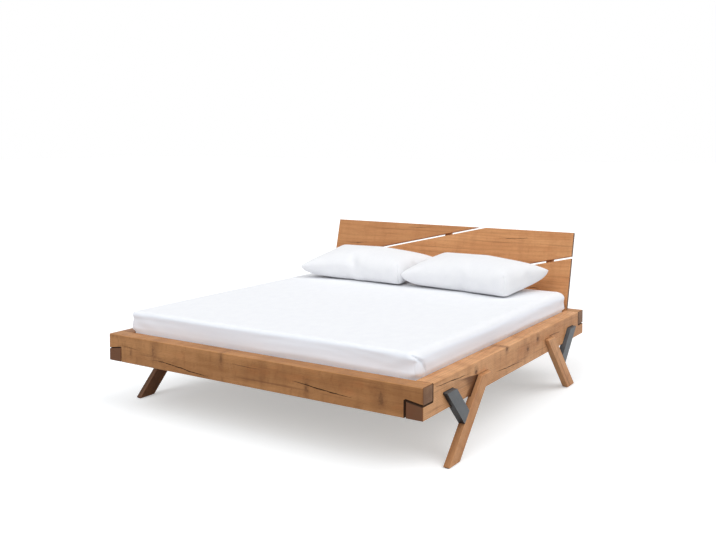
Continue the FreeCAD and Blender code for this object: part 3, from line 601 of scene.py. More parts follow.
        # Painted shade: a dark rim round the end grain.
        if self.rim:
            rising = board.remap(ending, *RIM_OUTSIDE, 0.0, self.rim)
            rim = board.times(rising, board.remap(ending, *RIM_INSIDE, 1.0, 0.0))
            colour = board.mix(rim, colour, self.streak)
        return colour


OAK = TimberFinish(
    light=srgb(228, 174, 126),
    middle=srgb(202, 146, 99),
    dark=srgb(138, 88, 54),
    streak=srgb(108, 64, 38),
    end=srgb(108, 74, 52),
    wear_and_highlight=0.40,
    # rim: painted shade round the end grain.
    rim=0.75,
)
# Rear legs without the painted rim shade.
OAK_REAR_LEG = replace(OAK, rim=0.0)
# Front legs with painted shade on their foot-facing faces.
OAK_FRONT_LEG = replace(OAK_REAR_LEG, painted_foot_shade=0.8)
# Painted shade: the front left leg's oak is darker, standing in for the shade under the bed.
OAK_PAINTED_SHADE_LEG = replace(
    OAK_FRONT_LEG,
    light=srgb(158, 112, 80),
    middle=srgb(132, 90, 62),
    dark=srgb(78, 52, 37),
    painted_foot_shade=1.0,
)
# Painted shade: the left rail's oak is darker, standing in for the mattress's shadow on it.
OAK_LEFT_RAIL_PAINTED_SHADE = replace(OAK, light=srgb(172, 126, 92), middle=srgb(150, 106, 74))
OAK_END_BEAM = TimberFinish(
    light=srgb(196, 142, 93),
    middle=srgb(160, 110, 67),
    dark=srgb(112, 71, 41),
    streak=srgb(88, 52, 31),
    end=srgb(148, 112, 83),
    fleck_share=0.28,
    band_share=0.24,
    # Painted light on the tops.
    painted_top_light=0.08,
    wear_and_highlight=0.55,
    # rim: painted shade round the end grain.
    rim=0.75,
)
OAK_BOARD = TimberFinish(
    light=srgb(224, 164, 112),
    middle=srgb(204, 142, 93),
    dark=srgb(158, 101, 62),
    streak=srgb(112, 69, 43),
    end=srgb(104, 72, 52),
    ring_share=0.16,
    streak_share=0.80,
    streaks=LONG_STREAKS,
    band_share=0.14,
    wander=0.03,
    heart=(0.0, 0.40, -0.05),
)
OAK_UPPER_BOARD = replace(OAK_BOARD, light=srgb(212, 154, 104), middle=srgb(191, 131, 85))
PINE = TimberFinish(
    light=srgb(226, 196, 150),
    middle=srgb(214, 178, 128),
    dark=srgb(188, 142, 92),
    streak=srgb(172, 124, 76),
    end=srgb(190, 152, 106),
    warm=srgb(206, 158, 104),
    fleck_share=0.04,
    band_share=0.05,
    roughness=0.6,
)
BIRCH = TimberFinish(
    light=srgb(230, 208, 172),
    middle=srgb(220, 194, 154),
    dark=srgb(194, 160, 116),
    streak=srgb(182, 146, 102),
    end=srgb(176, 140, 100),
    warm=srgb(212, 180, 136),
    ring_gap=0.0014,
    fleck_share=0.05,
    band_share=0.05,
    heart=(0.0, 0.0, -2.0),
    roughness=0.42,
)


@dataclass(frozen=True)
class CoatFinish:
    """A lacquered or bare metal, rubber or felt with a fine grain."""

    base: Colour
    shade: Colour
    metallic: float
    roughness: float
    grain: float
    relief: float
    # Painted shade: share of the near-black under_shade laid on downward faces, standing in for the shade
    # beneath the part.
    under: float = 0.0
    under_shade: Colour = (0.004, 0.004, 0.005)
    cloud_scale: float = 14.0
    cloud_share: float = 0.6
    rougher: float = 0.08
    smoother: float = 0.06
    relief_depth: float = 0.0004

    def build(self, name: str) -> bpy.types.Material:
        """Write the material.

        Args:
            name: The material's name.

        Returns:
            The material.
        """
        board = ShaderBoard(name)
        place = board.coordinates()
        clouds = board.noise(place, (self.cloud_scale,) * 3, 3.0, 0.6)
        fine = board.noise(place, (self.grain,) * 3)
        spots = board.plus(board.times(clouds, self.cloud_share), board.times(fine, 1.0 - self.cloud_share))
        colour = board.mix(board.remap(spots, *SPOT_SPAN), self.base, self.shade)
        # Painted shade: downward faces darken towards under_shade.
        if self.under:
            _, _, upward = board.parts(board.coordinates("Normal"))
            below = board.remap(upward, *LOWER_FACES, 0.0, self.under)
            colour = board.mix(below, colour, self.under_shade)
        board.set("Base Color", colour)
        rough = (self.roughness - self.smoother, self.roughness + self.rougher)
        board.set("Roughness", board.remap(fine, *GRAIN_SPAN, *rough))
        board.set("Metallic", self.metallic)
        board.relief(fine, self.relief, self.relief_depth)
        return board.material


# The braces' downward faces take painted shade (under=1.0).
BRACE_PAINT = CoatFinish(srgb(82, 85, 88), srgb(68, 71, 74), 0.0, 0.48, 1400.0, 0.22, under=1.0)
ZINC_STEEL = CoatFinish(srgb(196, 200, 204), srgb(164, 168, 174), 1.0, 0.34, 500.0, 0.10)
HANGER_STEEL = CoatFinish(srgb(176, 180, 184), srgb(146, 150, 156), 1.0, 0.42, 320.0, 0.12)
SLAT_RUBBER = CoatFinish(srgb(44, 44, 46), srgb(34, 34, 36), 0.0, 0.72, 900.0, 0.25)
FELT_GLIDE = CoatFinish(srgb(96, 84, 72), srgb(70, 61, 53), 0.0, 0.95, 2200.0, 0.60)


@dataclass(frozen=True)
class ClothFinish:
    """Plain woven cotton that follows the cloth's own flat coordinates."""

    base: Colour
    shade: Colour
    # Painted light: colour for upright faces, cooler and lighter than the base, standing in for the light on
    # the hanging sides.
    drop: Colour | None = None
    thread: float = 0.0008
    weave: float = 0.12
    weave_relief: float = 0.05
    crease: float = 0.10
    crease_scale: float = 22.0
    crease_stretch: float = 0.6
    slub_scale: Place = (40.0, 900.0, 1.0)
    slub_share: float = 0.5
    roughness: tuple[float, float] = (0.78, 0.88)
    sheen: float = 0.15
    sheen_roughness: float = 0.45
    gloss: float = 0.25
    relief: float = 0.5
    relief_depth: float = 0.004

    def build(self, name: str) -> bpy.types.Material:
        """Write the material.

        Args:
            name: The material's name.

        Returns:
            The material.
        """
        board = ShaderBoard(name)
        flat = board.cloth_map()
        along, across, _ = board.parts(flat)
        pitch = 2.0 * math.pi / self.thread
        warp = board.math("SINE", board.times(along, pitch))
        weft = board.math("SINE", board.times(across, pitch))
        weave = board.times(warp, weft)
        slubs = board.noise(flat, self.slub_scale, 2.0, 0.6)
        scale = self.crease_scale
        creases = board.noise(flat, (scale, scale * self.crease_stretch, 1.0), 3.0, 0.55)
        tone = board.plus(board.times(slubs, self.slub_share), board.times(creases, 1.0 - self.slub_share))
        colour = board.mix(board.remap(tone, *SPOT_SPAN), self.base, self.shade)
        # Painted light: upright faces move towards the drop colour.
        if self.drop:
            _, _, upward = board.parts(board.coordinates("Normal"))
            colour = board.mix(board.remap(upward, *LYING_FACES), self.drop, colour)
        board.set("Base Color", colour)
        board.set("Roughness", board.remap(slubs, *GRAIN_SPAN, *self.roughness))
        board.set("Sheen Weight", self.sheen)
        board.set("Sheen Roughness", self.sheen_roughness)
        board.set("Specular IOR Level", self.gloss)
        threads = board.times(weave, self.weave * self.weave_relief)
        board.relief(board.plus(threads, board.times(creases, self.crease)), self.relief, self.relief_depth)
        return board.material


# The sheet's hanging sides take a painted cooler light (drop).
SHEET_COTTON = ClothFinish(srgb(242, 243, 246), srgb(238, 239, 243), drop=srgb(243, 246, 254))
PILLOW_COTTON = ClothFinish(srgb(238, 238, 240), srgb(234, 234, 237), crease_scale=16.0)
TICKING = ClothFinish(srgb(236, 234, 230), srgb(224, 222, 218), thread=0.0016, weave=0.5, crease=0.05)
THREAD = ClothFinish(srgb(236, 236, 238), srgb(226, 226, 230), thread=0.0004, crease=0.02)


def node_centre(node: str) -> Vector:
    """Give the middle of a CAD node's box."""
    low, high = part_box(node)
    return (Vector(low) + Vector(high)) / 2.0


def linked(name: str, mesh: bpy.types.Mesh) -> bpy.types.Object:
    """Make an object of a mesh and put it in the scene.

    Args:
        name: The piece's name.
        mesh: Its mesh.

    Returns:
        The object.
    """
    piece = bpy.data.objects.new(name, mesh)
    bpy.context.scene.collection.objects.link(piece)
    return piece


def mesh_of(
    name: str,
    points: Sequence[Vector],
    faces: Sequence[Sequence[int]],
    edges: Sequence[Sequence[int]] = (),
) -> bpy.types.Object:
    """Make an object of points and faces.

    Args:
        name: The piece's name.
        points: The corners.
        faces: Each face's corners, counted from 0.
        edges: Loose edges, for a path.

    Returns:
        The object.
    """
    mesh = bpy.data.meshes.new(name)
    mesh.from_pydata([tuple(point) for point in points], list(edges), list(faces))
    mesh.update()
    return linked(name, mesh)


def settle(piece: bpy.types.Object) -> None:
    """Turn a piece's modifiers into plain mesh.

    Args:
        piece: The piece, which keeps its name.
    """
    graph = bpy.context.evaluated_depsgraph_get()
    graph.update()
    mesh = bpy.data.meshes.new_from_object(piece.evaluated_get(graph))
    piece.modifiers.clear()
    piece.data = mesh


def soften(piece: bpy.types.Object, degrees: float) -> None:
    """Shade a piece smoothly, apart from edges sharper than an angle."""
    piece.data.shade_smooth()
    piece.data.set_sharp_from_angle(angle=math.radians(degrees))


def coat(piece: bpy.types.Object, material: bpy.types.Material) -> None:
    """Give a new piece its one material."""
    piece.data.materials.clear()
    piece.data.materials.append(material)


def coat_nodes(material: bpy.types.Material, *nodes: str) -> None:
    """Give CAD nodes that stay a material.

    Args:
        material: The material.
        nodes: The nodes' names.
    """
    for node in nodes:
        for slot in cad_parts[node].material_slots:
            slot.link = "OBJECT"
            slot.material = material
        REPORT.info("node %s takes %s", node, material.name)


def hand_over(piece: bpy.types.Object, body: str, slot: str, *nodes: str) -> None:
    """Tell the frame what a piece rides on and hide the CAD nodes that it stands for.

    Args:
        piece: The piece.
        body: The body that carries it.
        slot: Its material slot; not used.
        nodes: The CAD nodes that it replaces.
    """
    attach(piece, body)
    if nodes:
        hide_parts(*nodes)
    REPORT.info("piece %s rides on %s", piece.name, body)


@dataclass(frozen=True)
class DryingCrack:
    """A crack that drying has opened in a timber's face."""

    path: tuple[Place, ...]
    outward: Place
    mouth: float = 0.0030
    depth: float = 0.012
    step: float = 0.007
    stray: float = 0.0011
    proud: float = 0.002
    tapers: bool = True
    tip: float = 0.03
    belly: float = 0.6
    uneven: float = 0.5
    uneven_scale: float = 31.0
    fine_stray_scale: float = 70.0
    broad_stray_scale: float = 19.0
    broad_stray: float = 2.0
    shallow: float = 0.35

    def line(self) -> list[Vector]:
        """Walk along the crack's path.

        Returns:
            Points about one step apart.
        """
        corners = [Vector(point) for point in self.path]
        line = [corners[0]]
        for start, end in zip(corners, corners[1:]):
            count = max(1, round((end - start).length / self.step))
            line.extend(start.lerp(end, part / count) for part in range(1, count + 1))
        return line

    def blade(self, name: str) -> bpy.types.Object:
        """Make the wedge that cuts the crack.

        Args:
            name: The blade's name.

        Returns:
            A closed wedge with pointed ends.
        """
        line = self.line()
        out = Vector(self.outward).normalized()
        side = (line[-1] - line[0]).cross(out).normalized()
        points = []
        for index, spot in enumerate(line):
            swell = 1.0
            if self.tapers:
                share = index / (len(line) - 1)
                swell = max(self.tip, math.sin(math.pi * share) ** self.belly)
                swell *= 1.0 + self.uneven * (noise.noise(spot * self.uneven_scale) - 0.5)
            stray = noise.noise(spot * self.fine_stray_scale)
            stray += noise.noise(spot * self.broad_stray_scale) * self.broad_stray
            spot = spot + side * stray * self.stray
            deep = self.depth * (self.shallow + (1.0 - self.shallow) * swell)
            half = side * (self.mouth * swell * (1.0 + self.proud / deep) / 2.0)
            brink = spot + out * self.proud
            points += [brink + half, brink - half, spot - out * deep]
        faces = [(0, 1, 2), (len(points) - 1, len(points) - 2, len(points) - 3)]
        for start in range(0, len(points) - 3, 3):
            for one, two in ((0, 1), (1, 2), (2, 0)):
                faces.append((start + one, start + 3 + one, start + 3 + two, start + two))
        piece = mesh_of(name, points, faces)
        shape = bmesh.new()
        shape.from_mesh(piece.data)
        bmesh.ops.recalc_face_normals(shape, faces=shape.faces)
        shape.to_mesh(piece.data)
        shape.free()
        return piece


MERGE_GAP = 0.00002
TIMBER_SHARP_ANGLE = 32.0
SLAT_SHARP_ANGLE = 40.0


def timber_piece(
    node: str, finish: bpy.types.Material, cracks: Sequence[DryingCrack]
) -> bpy.types.Object:
    """Copy a timber from its CAD node and open its drying cracks and joint grooves.

    Args:
        node: The CAD node.
        finish: The timber's material, whose name the piece takes.
        cracks: The cracks and grooves.

    Returns:
        The timber, with the walls of its cracks marked.
    """
    name = finish.name
    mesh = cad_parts[node].data.copy()
    mesh.name = name
    if mesh.has_custom_normals:
        mesh.attributes.remove(mesh.attributes["custom_normal"])
    shape = bmesh.new()
    shape.from_mesh(mesh)
    bmesh.ops.remove_doubles(shape, verts=shape.verts, dist=MERGE_GAP)
    shape.to_mesh(mesh)
    shape.free()
    piece = linked(name, mesh)
    coat(piece, finish)
    wall = bpy.data.materials.new(f"{name}_wall")
    blades = []
    for index, crack in enumerate(cracks):
        blade = crack.blade(f"{name}_blade_{index}")
        coat(blade, wall)
        cut = piece.modifiers.new(blade.name, "BOOLEAN")
        cut.operation = "DIFFERENCE"
        cut.solver = "EXACT"
        cut.material_mode = "TRANSFER"
        cut.object = blade
        blades.append(blade)
    settle(piece)
    for blade in blades:
        bpy.data.meshes.remove(blade.data)
    cut_mesh = piece.data
    slots = [material is wall for material in cut_mesh.materials]
    mark = cut_mesh.attributes.new(GROOVE_MARK, "FLOAT", "FACE")
    for polygon in cut_mesh.polygons:
        mark.data[polygon.index].value = float(slots[polygon.material_index])
        polygon.material_index = 0
    coat(piece, finish)
    bpy.data.materials.remove(wall)
    soften(piece, TIMBER_SHARP_ANGLE)
    return piece


GROOVE_DEPTH = 0.009
GROOVE_STEP = 0.04


def joint_groove(*path: Place, outward: Place, mouth: float) -> DryingCrack:
    """Give the V groove of an eased joint, straight and as wide all along."""
    return DryingCrack(path, outward, mouth, GROOVE_DEPTH, GROOVE_STEP, stray=0.0, tapers=False)


@dataclass
class Beams:
    """The four beams of the bed's frame, with their cracks, knots, lapped corners and leg housings.

    A side is 1 for right or -1 for left, and an end is 1 for head or -1 for foot. Marks on the foot
    beam are given across and those on the right rail from the foot, each with its share of the height.
    """

    underside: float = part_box("foot_beam")[0][2]
    height: float = 0.152
    front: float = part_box("foot_beam")[0][1]
    rear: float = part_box("head_beam")[1][1]
    side: float = 1.0
    rail_depth: float = 0.090
    end_depth: float = 0.096
    lap_outer: float = 0.45
    lap_inner: float = 0.55
    lap_mouth: float = 0.0130
    tight_lap_mouth: float = 0.0070
    lap_side_share: float = 0.7
    lap_shoulder_share: float = 0.6
    lap_top_mouth: float = 0.002
    lap_inset: float = 0.002
    groove_past: float = 0.004
    housing_mouth: float = 0.0075
    leg_lap: float = 0.083
    leg_slope: float = 1.0
    leg_lines: tuple[float, float] = (0.219, 0.336)
    brace_lines: tuple[float, float] = (0.197, 0.302)
    front_cracks: Paths = (
        ((-0.667, 0.294), (-0.581, 0.301), (-0.457, 0.204), (-0.349, 0.130), (-0.252, 0.087)),
        ((0.284, 0.490), (0.356, 0.466), (0.437, 0.390), (0.535, 0.350), (0.629, 0.312)),
        ((-0.930, 0.620), (-0.850, 0.600), (-0.770, 0.560)),
        ((-0.120, 0.700), (-0.020, 0.672), (0.090, 0.665)),
    )
    front_crack_mouths: tuple[float, ...] = (0.0064, 0.0064, 0.0022, 0.0022)
    rail_cracks: Paths = (
        ((0.117, 0.84), (0.240, 0.81), (0.360, 0.77), (0.468, 0.74)),
        ((0.807, 0.33), (0.930, 0.27), (1.060, 0.25), (1.178, 0.21)),
        ((1.585, 0.62), (1.680, 0.60), (1.773, 0.58)),
    )
    rail_crack_mouth: float = 0.0042
    left_crack_slide: float = 0.19
    rail_knots: tuple[Place, ...] = (
        (0.954, 0.94, 0.013),
        (1.253, 0.55, 0.015),
        (1.407, 0.73, 0.015),
        (0.561, 0.67, 0.014),
    )
    left_knot_slide: float = -0.31
    front_knots: tuple[Place, ...] = (
        (-0.656, 0.62, 0.012),
        (-0.169, 0.79, 0.009),
        (0.367, 0.38, 0.009),
        (0.785, 0.45, 0.014),
        (-0.827, 0.41, 0.007),
    )
    front_knot_shape: Place = (1.0, 0.2, 0.36)
    front_knot_strength: float = 0.42

    def on_end(self, along: float, across: float, share: float) -> Place:
        """Give a place on an end beam's outer face, at a share of its height and mirrored at the head."""
        face = self.rear if along > 0.0 else self.front
        return -along * across, face, self.underside + self.height * share

    def on_rail(self, side: float, along: float, share: float) -> Place:
        """Give a place on a rail's outer face, so far from the foot and at a share of its height."""
        return side * self.side, self.front + along, self.underside + self.height * share

    def end_marks(self, along: float) -> tuple[list[DryingCrack], list[Knot]]:
        """Give the cracks and knots of an end beam's outer face.

        Args:
            along: The beam's end.

        Returns:
            The cracks, and the knots, which are taller than wide.
        """
        cracks = []
        for path, mouth in zip(self.front_cracks, self.front_crack_mouths):
            spots = tuple(self.on_end(along, *point) for point in path)
            cracks.append(DryingCrack(spots, (0.0, along, 0.0), mouth))
        knots = []
        for across, share, wide in self.front_knots:
            spot = self.on_end(along, across, share)
            knots.append(Knot(spot, wide, self.front_knot_shape, self.front_knot_strength))
        return cracks, knots

    def rail_marks(self, side: float) -> tuple[list[DryingCrack], list[Knot]]:
        """Give the cracks and knots of a rail's outer face, moved along on the left rail.

        Args:
            side: The rail's side.

        Returns:
            The cracks and the knots.
        """
        crack_slide, knot_slide = (0.0, 0.0) if side > 0.0 else (self.left_crack_slide, self.left_knot_slide)
        cracks = []
        for path in self.rail_cracks:
            spots = tuple(self.on_rail(side, along + crack_slide, share) for along, share in path)
            cracks.append(DryingCrack(spots, (side, 0.0, 0.0), self.rail_crack_mouth))
        knots = []
        for along, share, wide in self.rail_knots:
            knots.append(Knot(self.on_rail(side, along + knot_slide, share), wide))
        return cracks, knots

    def lap_grooves(self, side: float, along: float) -> list[DryingCrack]:
        """Give the grooves of one lapped corner.

        Args:
            side: The corner's side.
            along: The corner's end.

        Returns:
            The grooves on the end face, the side face and the top.
        """
        end = self.rear if along > 0.0 else self.front
        past_end = end + along * self.groove_past
        shoulder = end - along * self.end_depth
        outer = side * self.side
        past_outer = outer + side * self.groove_past
        inner = side * (self.side - self.rail_depth)
        beside = inner - side * self.lap_inset
        below = self.underside - self.groove_past
        low = self.underside + self.height * self.lap_outer
        high = self.underside + self.height * self.lap_inner
        top = self.underside + self.height
        ahead = (0.0, along, 0.0)
        aside = (side, 0.0, 0.0)
        upward = (0.0, 0.0, 1.0)
        mouth = self.lap_mouth if side > 0.0 else self.tight_lap_mouth
        side_mouth = mouth * self.lap_side_share
        shoulder_mouth = mouth * self.lap_shoulder_share
        return [
            joint_groove((beside, end, below), (beside, end, high), outward=ahead, mouth=mouth),
            joint_groove((beside, end, high), (past_outer, end, low), outward=ahead, mouth=mouth),
            joint_groove((outer, past_end, low), (outer, shoulder, low), outward=aside, mouth=side_mouth),
            joint_groove(
                (outer, shoulder, low),
                (outer, shoulder, top + self.groove_past),
                outward=aside,
                mouth=shoulder_mouth,
            ),
            joint_groove(
                (inner, shoulder, top),
                (past_outer, shoulder, top),
                outward=upward,
                mouth=self.lap_top_mouth,
            ),
        ]

    def housing_grooves(self, side: float, along: float) -> list[DryingCrack]:
        """Give the shadow gaps round one leg and its brace where they enter the rail.

        Args:
            side: The rail's side.
            along: The leg's end.

        Returns:
            The grooves on the rail's outer face.
        """
        end = self.rear if along > 0.0 else self.front
        top = self.underside + self.leg_lap
        bottom = self.underside - self.groove_past
        grooves = []
        for (near, far), leans_in in ((self.leg_lines, True), (self.brace_lines, False)):
            rims = []
            for line in (near, far):
                for level in (bottom, top):
                    run = level if leans_in else top - level
                    rims.append((side * self.side, end - along * (line + self.leg_slope * run), level))
            near_bottom, near_top, far_bottom, far_top = rims
            for path in ((near_bottom, near_top), (near_top, far_top), (far_bottom, far_top)):
                grooves.append(joint_groove(*path, outward=(side, 0.0, 0.0), mouth=self.housing_mouth))
        return grooves

    @staticmethod
    def dress(
        node: str,
        finish: TimberFinish,
        fibre: Fibre,
        cracks: Sequence[DryingCrack],
        knots: Sequence[Knot],
    ) -> None:
        """Make one beam from its CAD node, with its cracks, grooves and knots."""
        timber = finish.build(f"oak_{node}", node_centre(node), fibre, knots)
        hand_over(timber_piece(node, timber, cracks), "frame", "oak_beam", node)

    def build(self) -> None:
        """Make and dress the four beams."""
        for node, along in (("foot_beam", -1.0), ("head_beam", 1.0)):
            cracks, knots = self.end_marks(along)
            cracks += self.lap_grooves(1.0, along) + self.lap_grooves(-1.0, along)
            self.dress(node, OAK_END_BEAM, Fibre.END_BEAM, cracks, knots)
        for node, side, finish in (("right_rail", 1.0, OAK), ("left_rail", -1.0, OAK_LEFT_RAIL_PAINTED_SHADE)):
            cracks, knots = self.rail_marks(side)
            cracks += self.lap_grooves(side, 1.0) + self.lap_grooves(side, -1.0)
            cracks += self.housing_grooves(side, 1.0) + self.housing_grooves(side, -1.0)
            self.dress(node, finish, Fibre.RAIL, cracks, knots)


@dataclass
class Headboard:
    """Three boards cut apart by two slanting gaps, on battens behind."""

    lean: float = math.radians(14.3)
    foot_y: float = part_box("headboard_middle_board")[0][1]
    foot_z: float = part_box("headboard_middle_board")[0][2]
    crack_mouth: float = 0.0036
    crack_depth: float = 0.005
    streaks: dict[str, Paths] = field(default_factory=lambda: {
        "upper": (
            ((-0.315, 0.477), (-0.220, 0.480), (-0.120, 0.488)),
            ((-0.831, 0.333), (-0.720, 0.336), (-0.628, 0.346)),
        ),
        "middle": (
            ((0.393, 0.439), (0.500, 0.441), (0.613, 0.453)),
            ((0.10, 0.30), (0.22, 0.305), (0.33, 0.322)),
        ),
        "lower": (
            ((0.52, 0.120), (0.63, 0.126), (0.72, 0.124)),
        ),
    })

    def spot(self, across: float, rise: float) -> Place:
        """Give a place on the headboard's front face, so far across and up its slope."""
        return across, self.foot_y + rise * math.sin(self.lean), self.foot_z + rise * math.cos(self.lean)

    def build(self) -> None:
        """Make and dress the boards and dress the battens."""
        outward = (0.0, -math.cos(self.lean), math.sin(self.lean))
        for level, paths in self.streaks.items():
            node = f"headboard_{level}_board"
            cracks = []
            for path in paths:
                spots = tuple(self.spot(*point) for point in path)
                cracks.append(DryingCrack(spots, outward, self.crack_mouth, self.crack_depth))
            finish = OAK_UPPER_BOARD if level == "upper" else OAK_BOARD
            piece = timber_piece(node, finish.build(f"oak_{node}", node_centre(node), Fibre.END_BEAM), cracks)
            hand_over(piece, "frame", "oak_board", node)
        for side in ("left", "middle", "right"):
            node = f"headboard_{side}_batten"
            coat_nodes(OAK_BOARD.build(f"oak_{node}", node_centre(node), Fibre.BATTEN), node)


@dataclass
class Legs:
    """Slanting plank legs, their dark braces and felt glides."""

    finishes: dict[str, tuple[TimberFinish, Fibre]] = field(default_factory=lambda: {
        "front_right": (OAK_FRONT_LEG, Fibre.FRONT_LEG),
        "rear_right": (OAK_REAR_LEG, Fibre.REAR_LEG),
        "front_left": (OAK_PAINTED_SHADE_LEG, Fibre.FRONT_LEG),
        "rear_left": (OAK_REAR_LEG, Fibre.REAR_LEG),
    })

    def build(self) -> None:
        """Dress the legs, braces and glides."""
        paint = BRACE_PAINT.build("brace_paint")
        for corner, (finish, fibre) in self.finishes.items():
            node = f"leg_{corner}"
            coat_nodes(finish.build(f"oak_{node}", node_centre(node), fibre), node)
            coat_nodes(paint, f"brace_{corner}")
        coat_nodes(FELT_GLIDE.build("felt_glide"), "foot_glides")


class TreeBoard:
    """Writes one Geometry Nodes tree with named inputs."""

    def __init__(self, name: str) -> None:
        """Start a tree that takes and gives geometry.

        Args:
            name: The tree's name.
        """
        self.tree = bpy.data.node_groups.new(name, "GeometryNodeTree")
        self.tree.interface.new_socket("Geometry", in_out="INPUT", socket_type="NodeSocketGeometry")
        self.tree.interface.new_socket("Geometry", in_out="OUTPUT", socket_type="NodeSocketGeometry")
        self.start = self.tree.nodes.new("NodeGroupInput")
        self.stop = self.tree.nodes.new("NodeGroupOutput")
        self.names: dict[str, str] = {}

    def input(self, name: str, kind: str) -> Socket:
        """Add a named input.

        Args:
            name: The input's name.
            kind: Its socket type, such as Float or Int.

        Returns:
            Its socket inside the tree.
        """
        item = self.tree.interface.new_socket(name, in_out="INPUT", socket_type=f"NodeSocket{kind}")
        self.names[name] = item.identifier
        return self.start.outputs[name]

    def node(self, kind: str, **inputs: object) -> bpy.types.Node:
        """Add a node and fill its inputs.

        Args:
            kind: The node's type.
            inputs: Its inputs by name, with _ for a space, as sockets or values.

        Returns:
            The node.
        """
        node = self.tree.nodes.new(kind)
        for name, value in inputs.items():
            target = node.inputs[name.replace("_", " ")]
            if isinstance(value, bpy.types.NodeSocket):
                self.tree.links.new(value, target)
            else:
                target.default_value = value
        return node

    def close(self, result: Socket, material: Socket) -> None:
        """Realize the instances, set the material and end the tree.

        Args:
            result: The geometry.
            material: The material input.
        """
        real = self.node("GeometryNodeRealizeInstances", Geometry=result)
        painted = self.node("GeometryNodeSetMaterial", Geometry=real.outputs[0], Material=material)
        self.tree.links.new(painted.outputs[0], self.stop.inputs[0])

    def apply(self, piece: bpy.types.Object, **values: object) -> bpy.types.NodesModifier:
        """Hang the tree on a piece and set its inputs.

        Args:
            piece: The piece.
            values: The inputs by name, with _ for a space.

        Returns:
            The modifier.
        """
        modifier = piece.modifiers.new(self.tree.name, "NODES")
        modifier.node_group = self.tree
        for name, value in values.items():
            modifier[self.names[name.replace("_", " ")]] = value
        return modifier


UNIT_RADIUS = 0.5
PIPING_SIDES = 10


def slat_tree() -> TreeBoard:
    """Write the tree that lays a row of slats.

    Returns:
        The tree.
    """
    board = TreeBoard("slat_row")
    first = board.input("First", "Vector")
    count = board.input("Count", "Int")
    pitch = board.input("Pitch", "Float")
    size = board.input("Slat Size", "Vector")
    material = board.input("Material", "Material")
    step = board.node("ShaderNodeCombineXYZ", Y=pitch)
    row = board.node("GeometryNodeMeshLine", Count=count, Start_Location=first, Offset=step.outputs[0])
    slat = board.node("GeometryNodeMeshCube", Size=size)
    laid = board.node("GeometryNodeInstanceOnPoints", Points=row.outputs[0], Instance=slat.outputs[0])
    board.close(laid.outputs[0], material)
    return board


def stitch_tree() -> TreeBoard:
    """Write the tree that sews stitches along a path.

    Returns:
        The tree.
    """
    board = TreeBoard("stitch_row")
    pitch = board.input("Pitch", "Float")
    size = board.input("Stitch Size", "Vector")
    material = board.input("Material", "Material")
    path = board.node("GeometryNodeMeshToCurve", Mesh=board.start.outputs["Geometry"])
    spaced = board.node("GeometryNodeResampleCurve", Curve=path.outputs[0])
    spaced.mode = "LENGTH"
    board.tree.links.new(pitch, next(plug for plug in spaced.inputs if plug.identifier == "Length"))
    heading = board.node("GeometryNodeInputTangent")
    turned = board.node("FunctionNodeAlignRotationToVector", Vector=heading.outputs[0])
    turned.axis = "X"
    stitch = board.node("GeometryNodeMeshIcoSphere", Radius=UNIT_RADIUS, Subdivisions=1)
    sewn = board.node(
        "GeometryNodeInstanceOnPoints",
        Points=spaced.outputs[0],
        Instance=stitch.outputs[0],
        Rotation=turned.outputs[0],
        Scale=size,
    )
    board.close(sewn.outputs[0], material)
    return board


def cord_tree() -> TreeBoard:
    """Write the tree that runs a round piping along a path.

    Returns:
        The tree.
    """
    board = TreeBoard("piping")
    radius = board.input("Radius", "Float")
    material = board.input("Material", "Material")
    path = board.node("GeometryNodeMeshToCurve", Mesh=board.start.outputs["Geometry"])
    ring = board.node("GeometryNodeCurvePrimitiveCircle", Resolution=PIPING_SIDES, Radius=radius)
    tube = board.node("GeometryNodeCurveToMesh", Curve=path.outputs[0], Profile_Curve=ring.outputs[0])
    board.close(tube.outputs[0], material)
    return board


@dataclass
class SlattedBases:
    """Two slatted bases with birch slats on rubber pads."""

    count: int = 14
    slat_width: float = 0.064
    edge: float = 0.0028
    edge_segments: int = 3

    def build(self) -> None:
        """Lay the slats and dress the stiles, end rails and pads."""
        rows = slat_tree()
        rubber = SLAT_RUBBER.build("slat_rubber")
        for side in ("right", "left"):
            node = f"{side}_base_slats"
            low, high = (Vector(corner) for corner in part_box(node))
            middle = (low + high) / 2.0
            finish = BIRCH.build(f"birch_{node}", middle, Fibre.END_BEAM)
            piece = mesh_of(f"sprung_{node}", [], [])
            rows.apply(
                piece,
                First=(middle.x, low.y + self.slat_width / 2.0, middle.z),
                Count=self.count,
                Pitch=(high.y - low.y - self.slat_width) / (self.count - 1),
                Slat_Size=(high.x - low.x, self.slat_width, high.z - low.z),
                Material=finish,
            )
            bevel = piece.modifiers.new("eased_edges", "BEVEL")
            bevel.width = self.edge
            bevel.segments = self.edge_segments
            settle(piece)
            soften(piece, SLAT_SHARP_ANGLE)
            hand_over(piece, "frame", "birch_slat", node)
            for part, fibre in (("stiles", Fibre.RAIL), ("end_rails", Fibre.END_BEAM)):
                name = f"{side}_base_{part}"
                coat_nodes(PINE.build(f"pine_{name}", node_centre(name), fibre), name)
            coat_nodes(rubber, f"{side}_base_slat_pads")


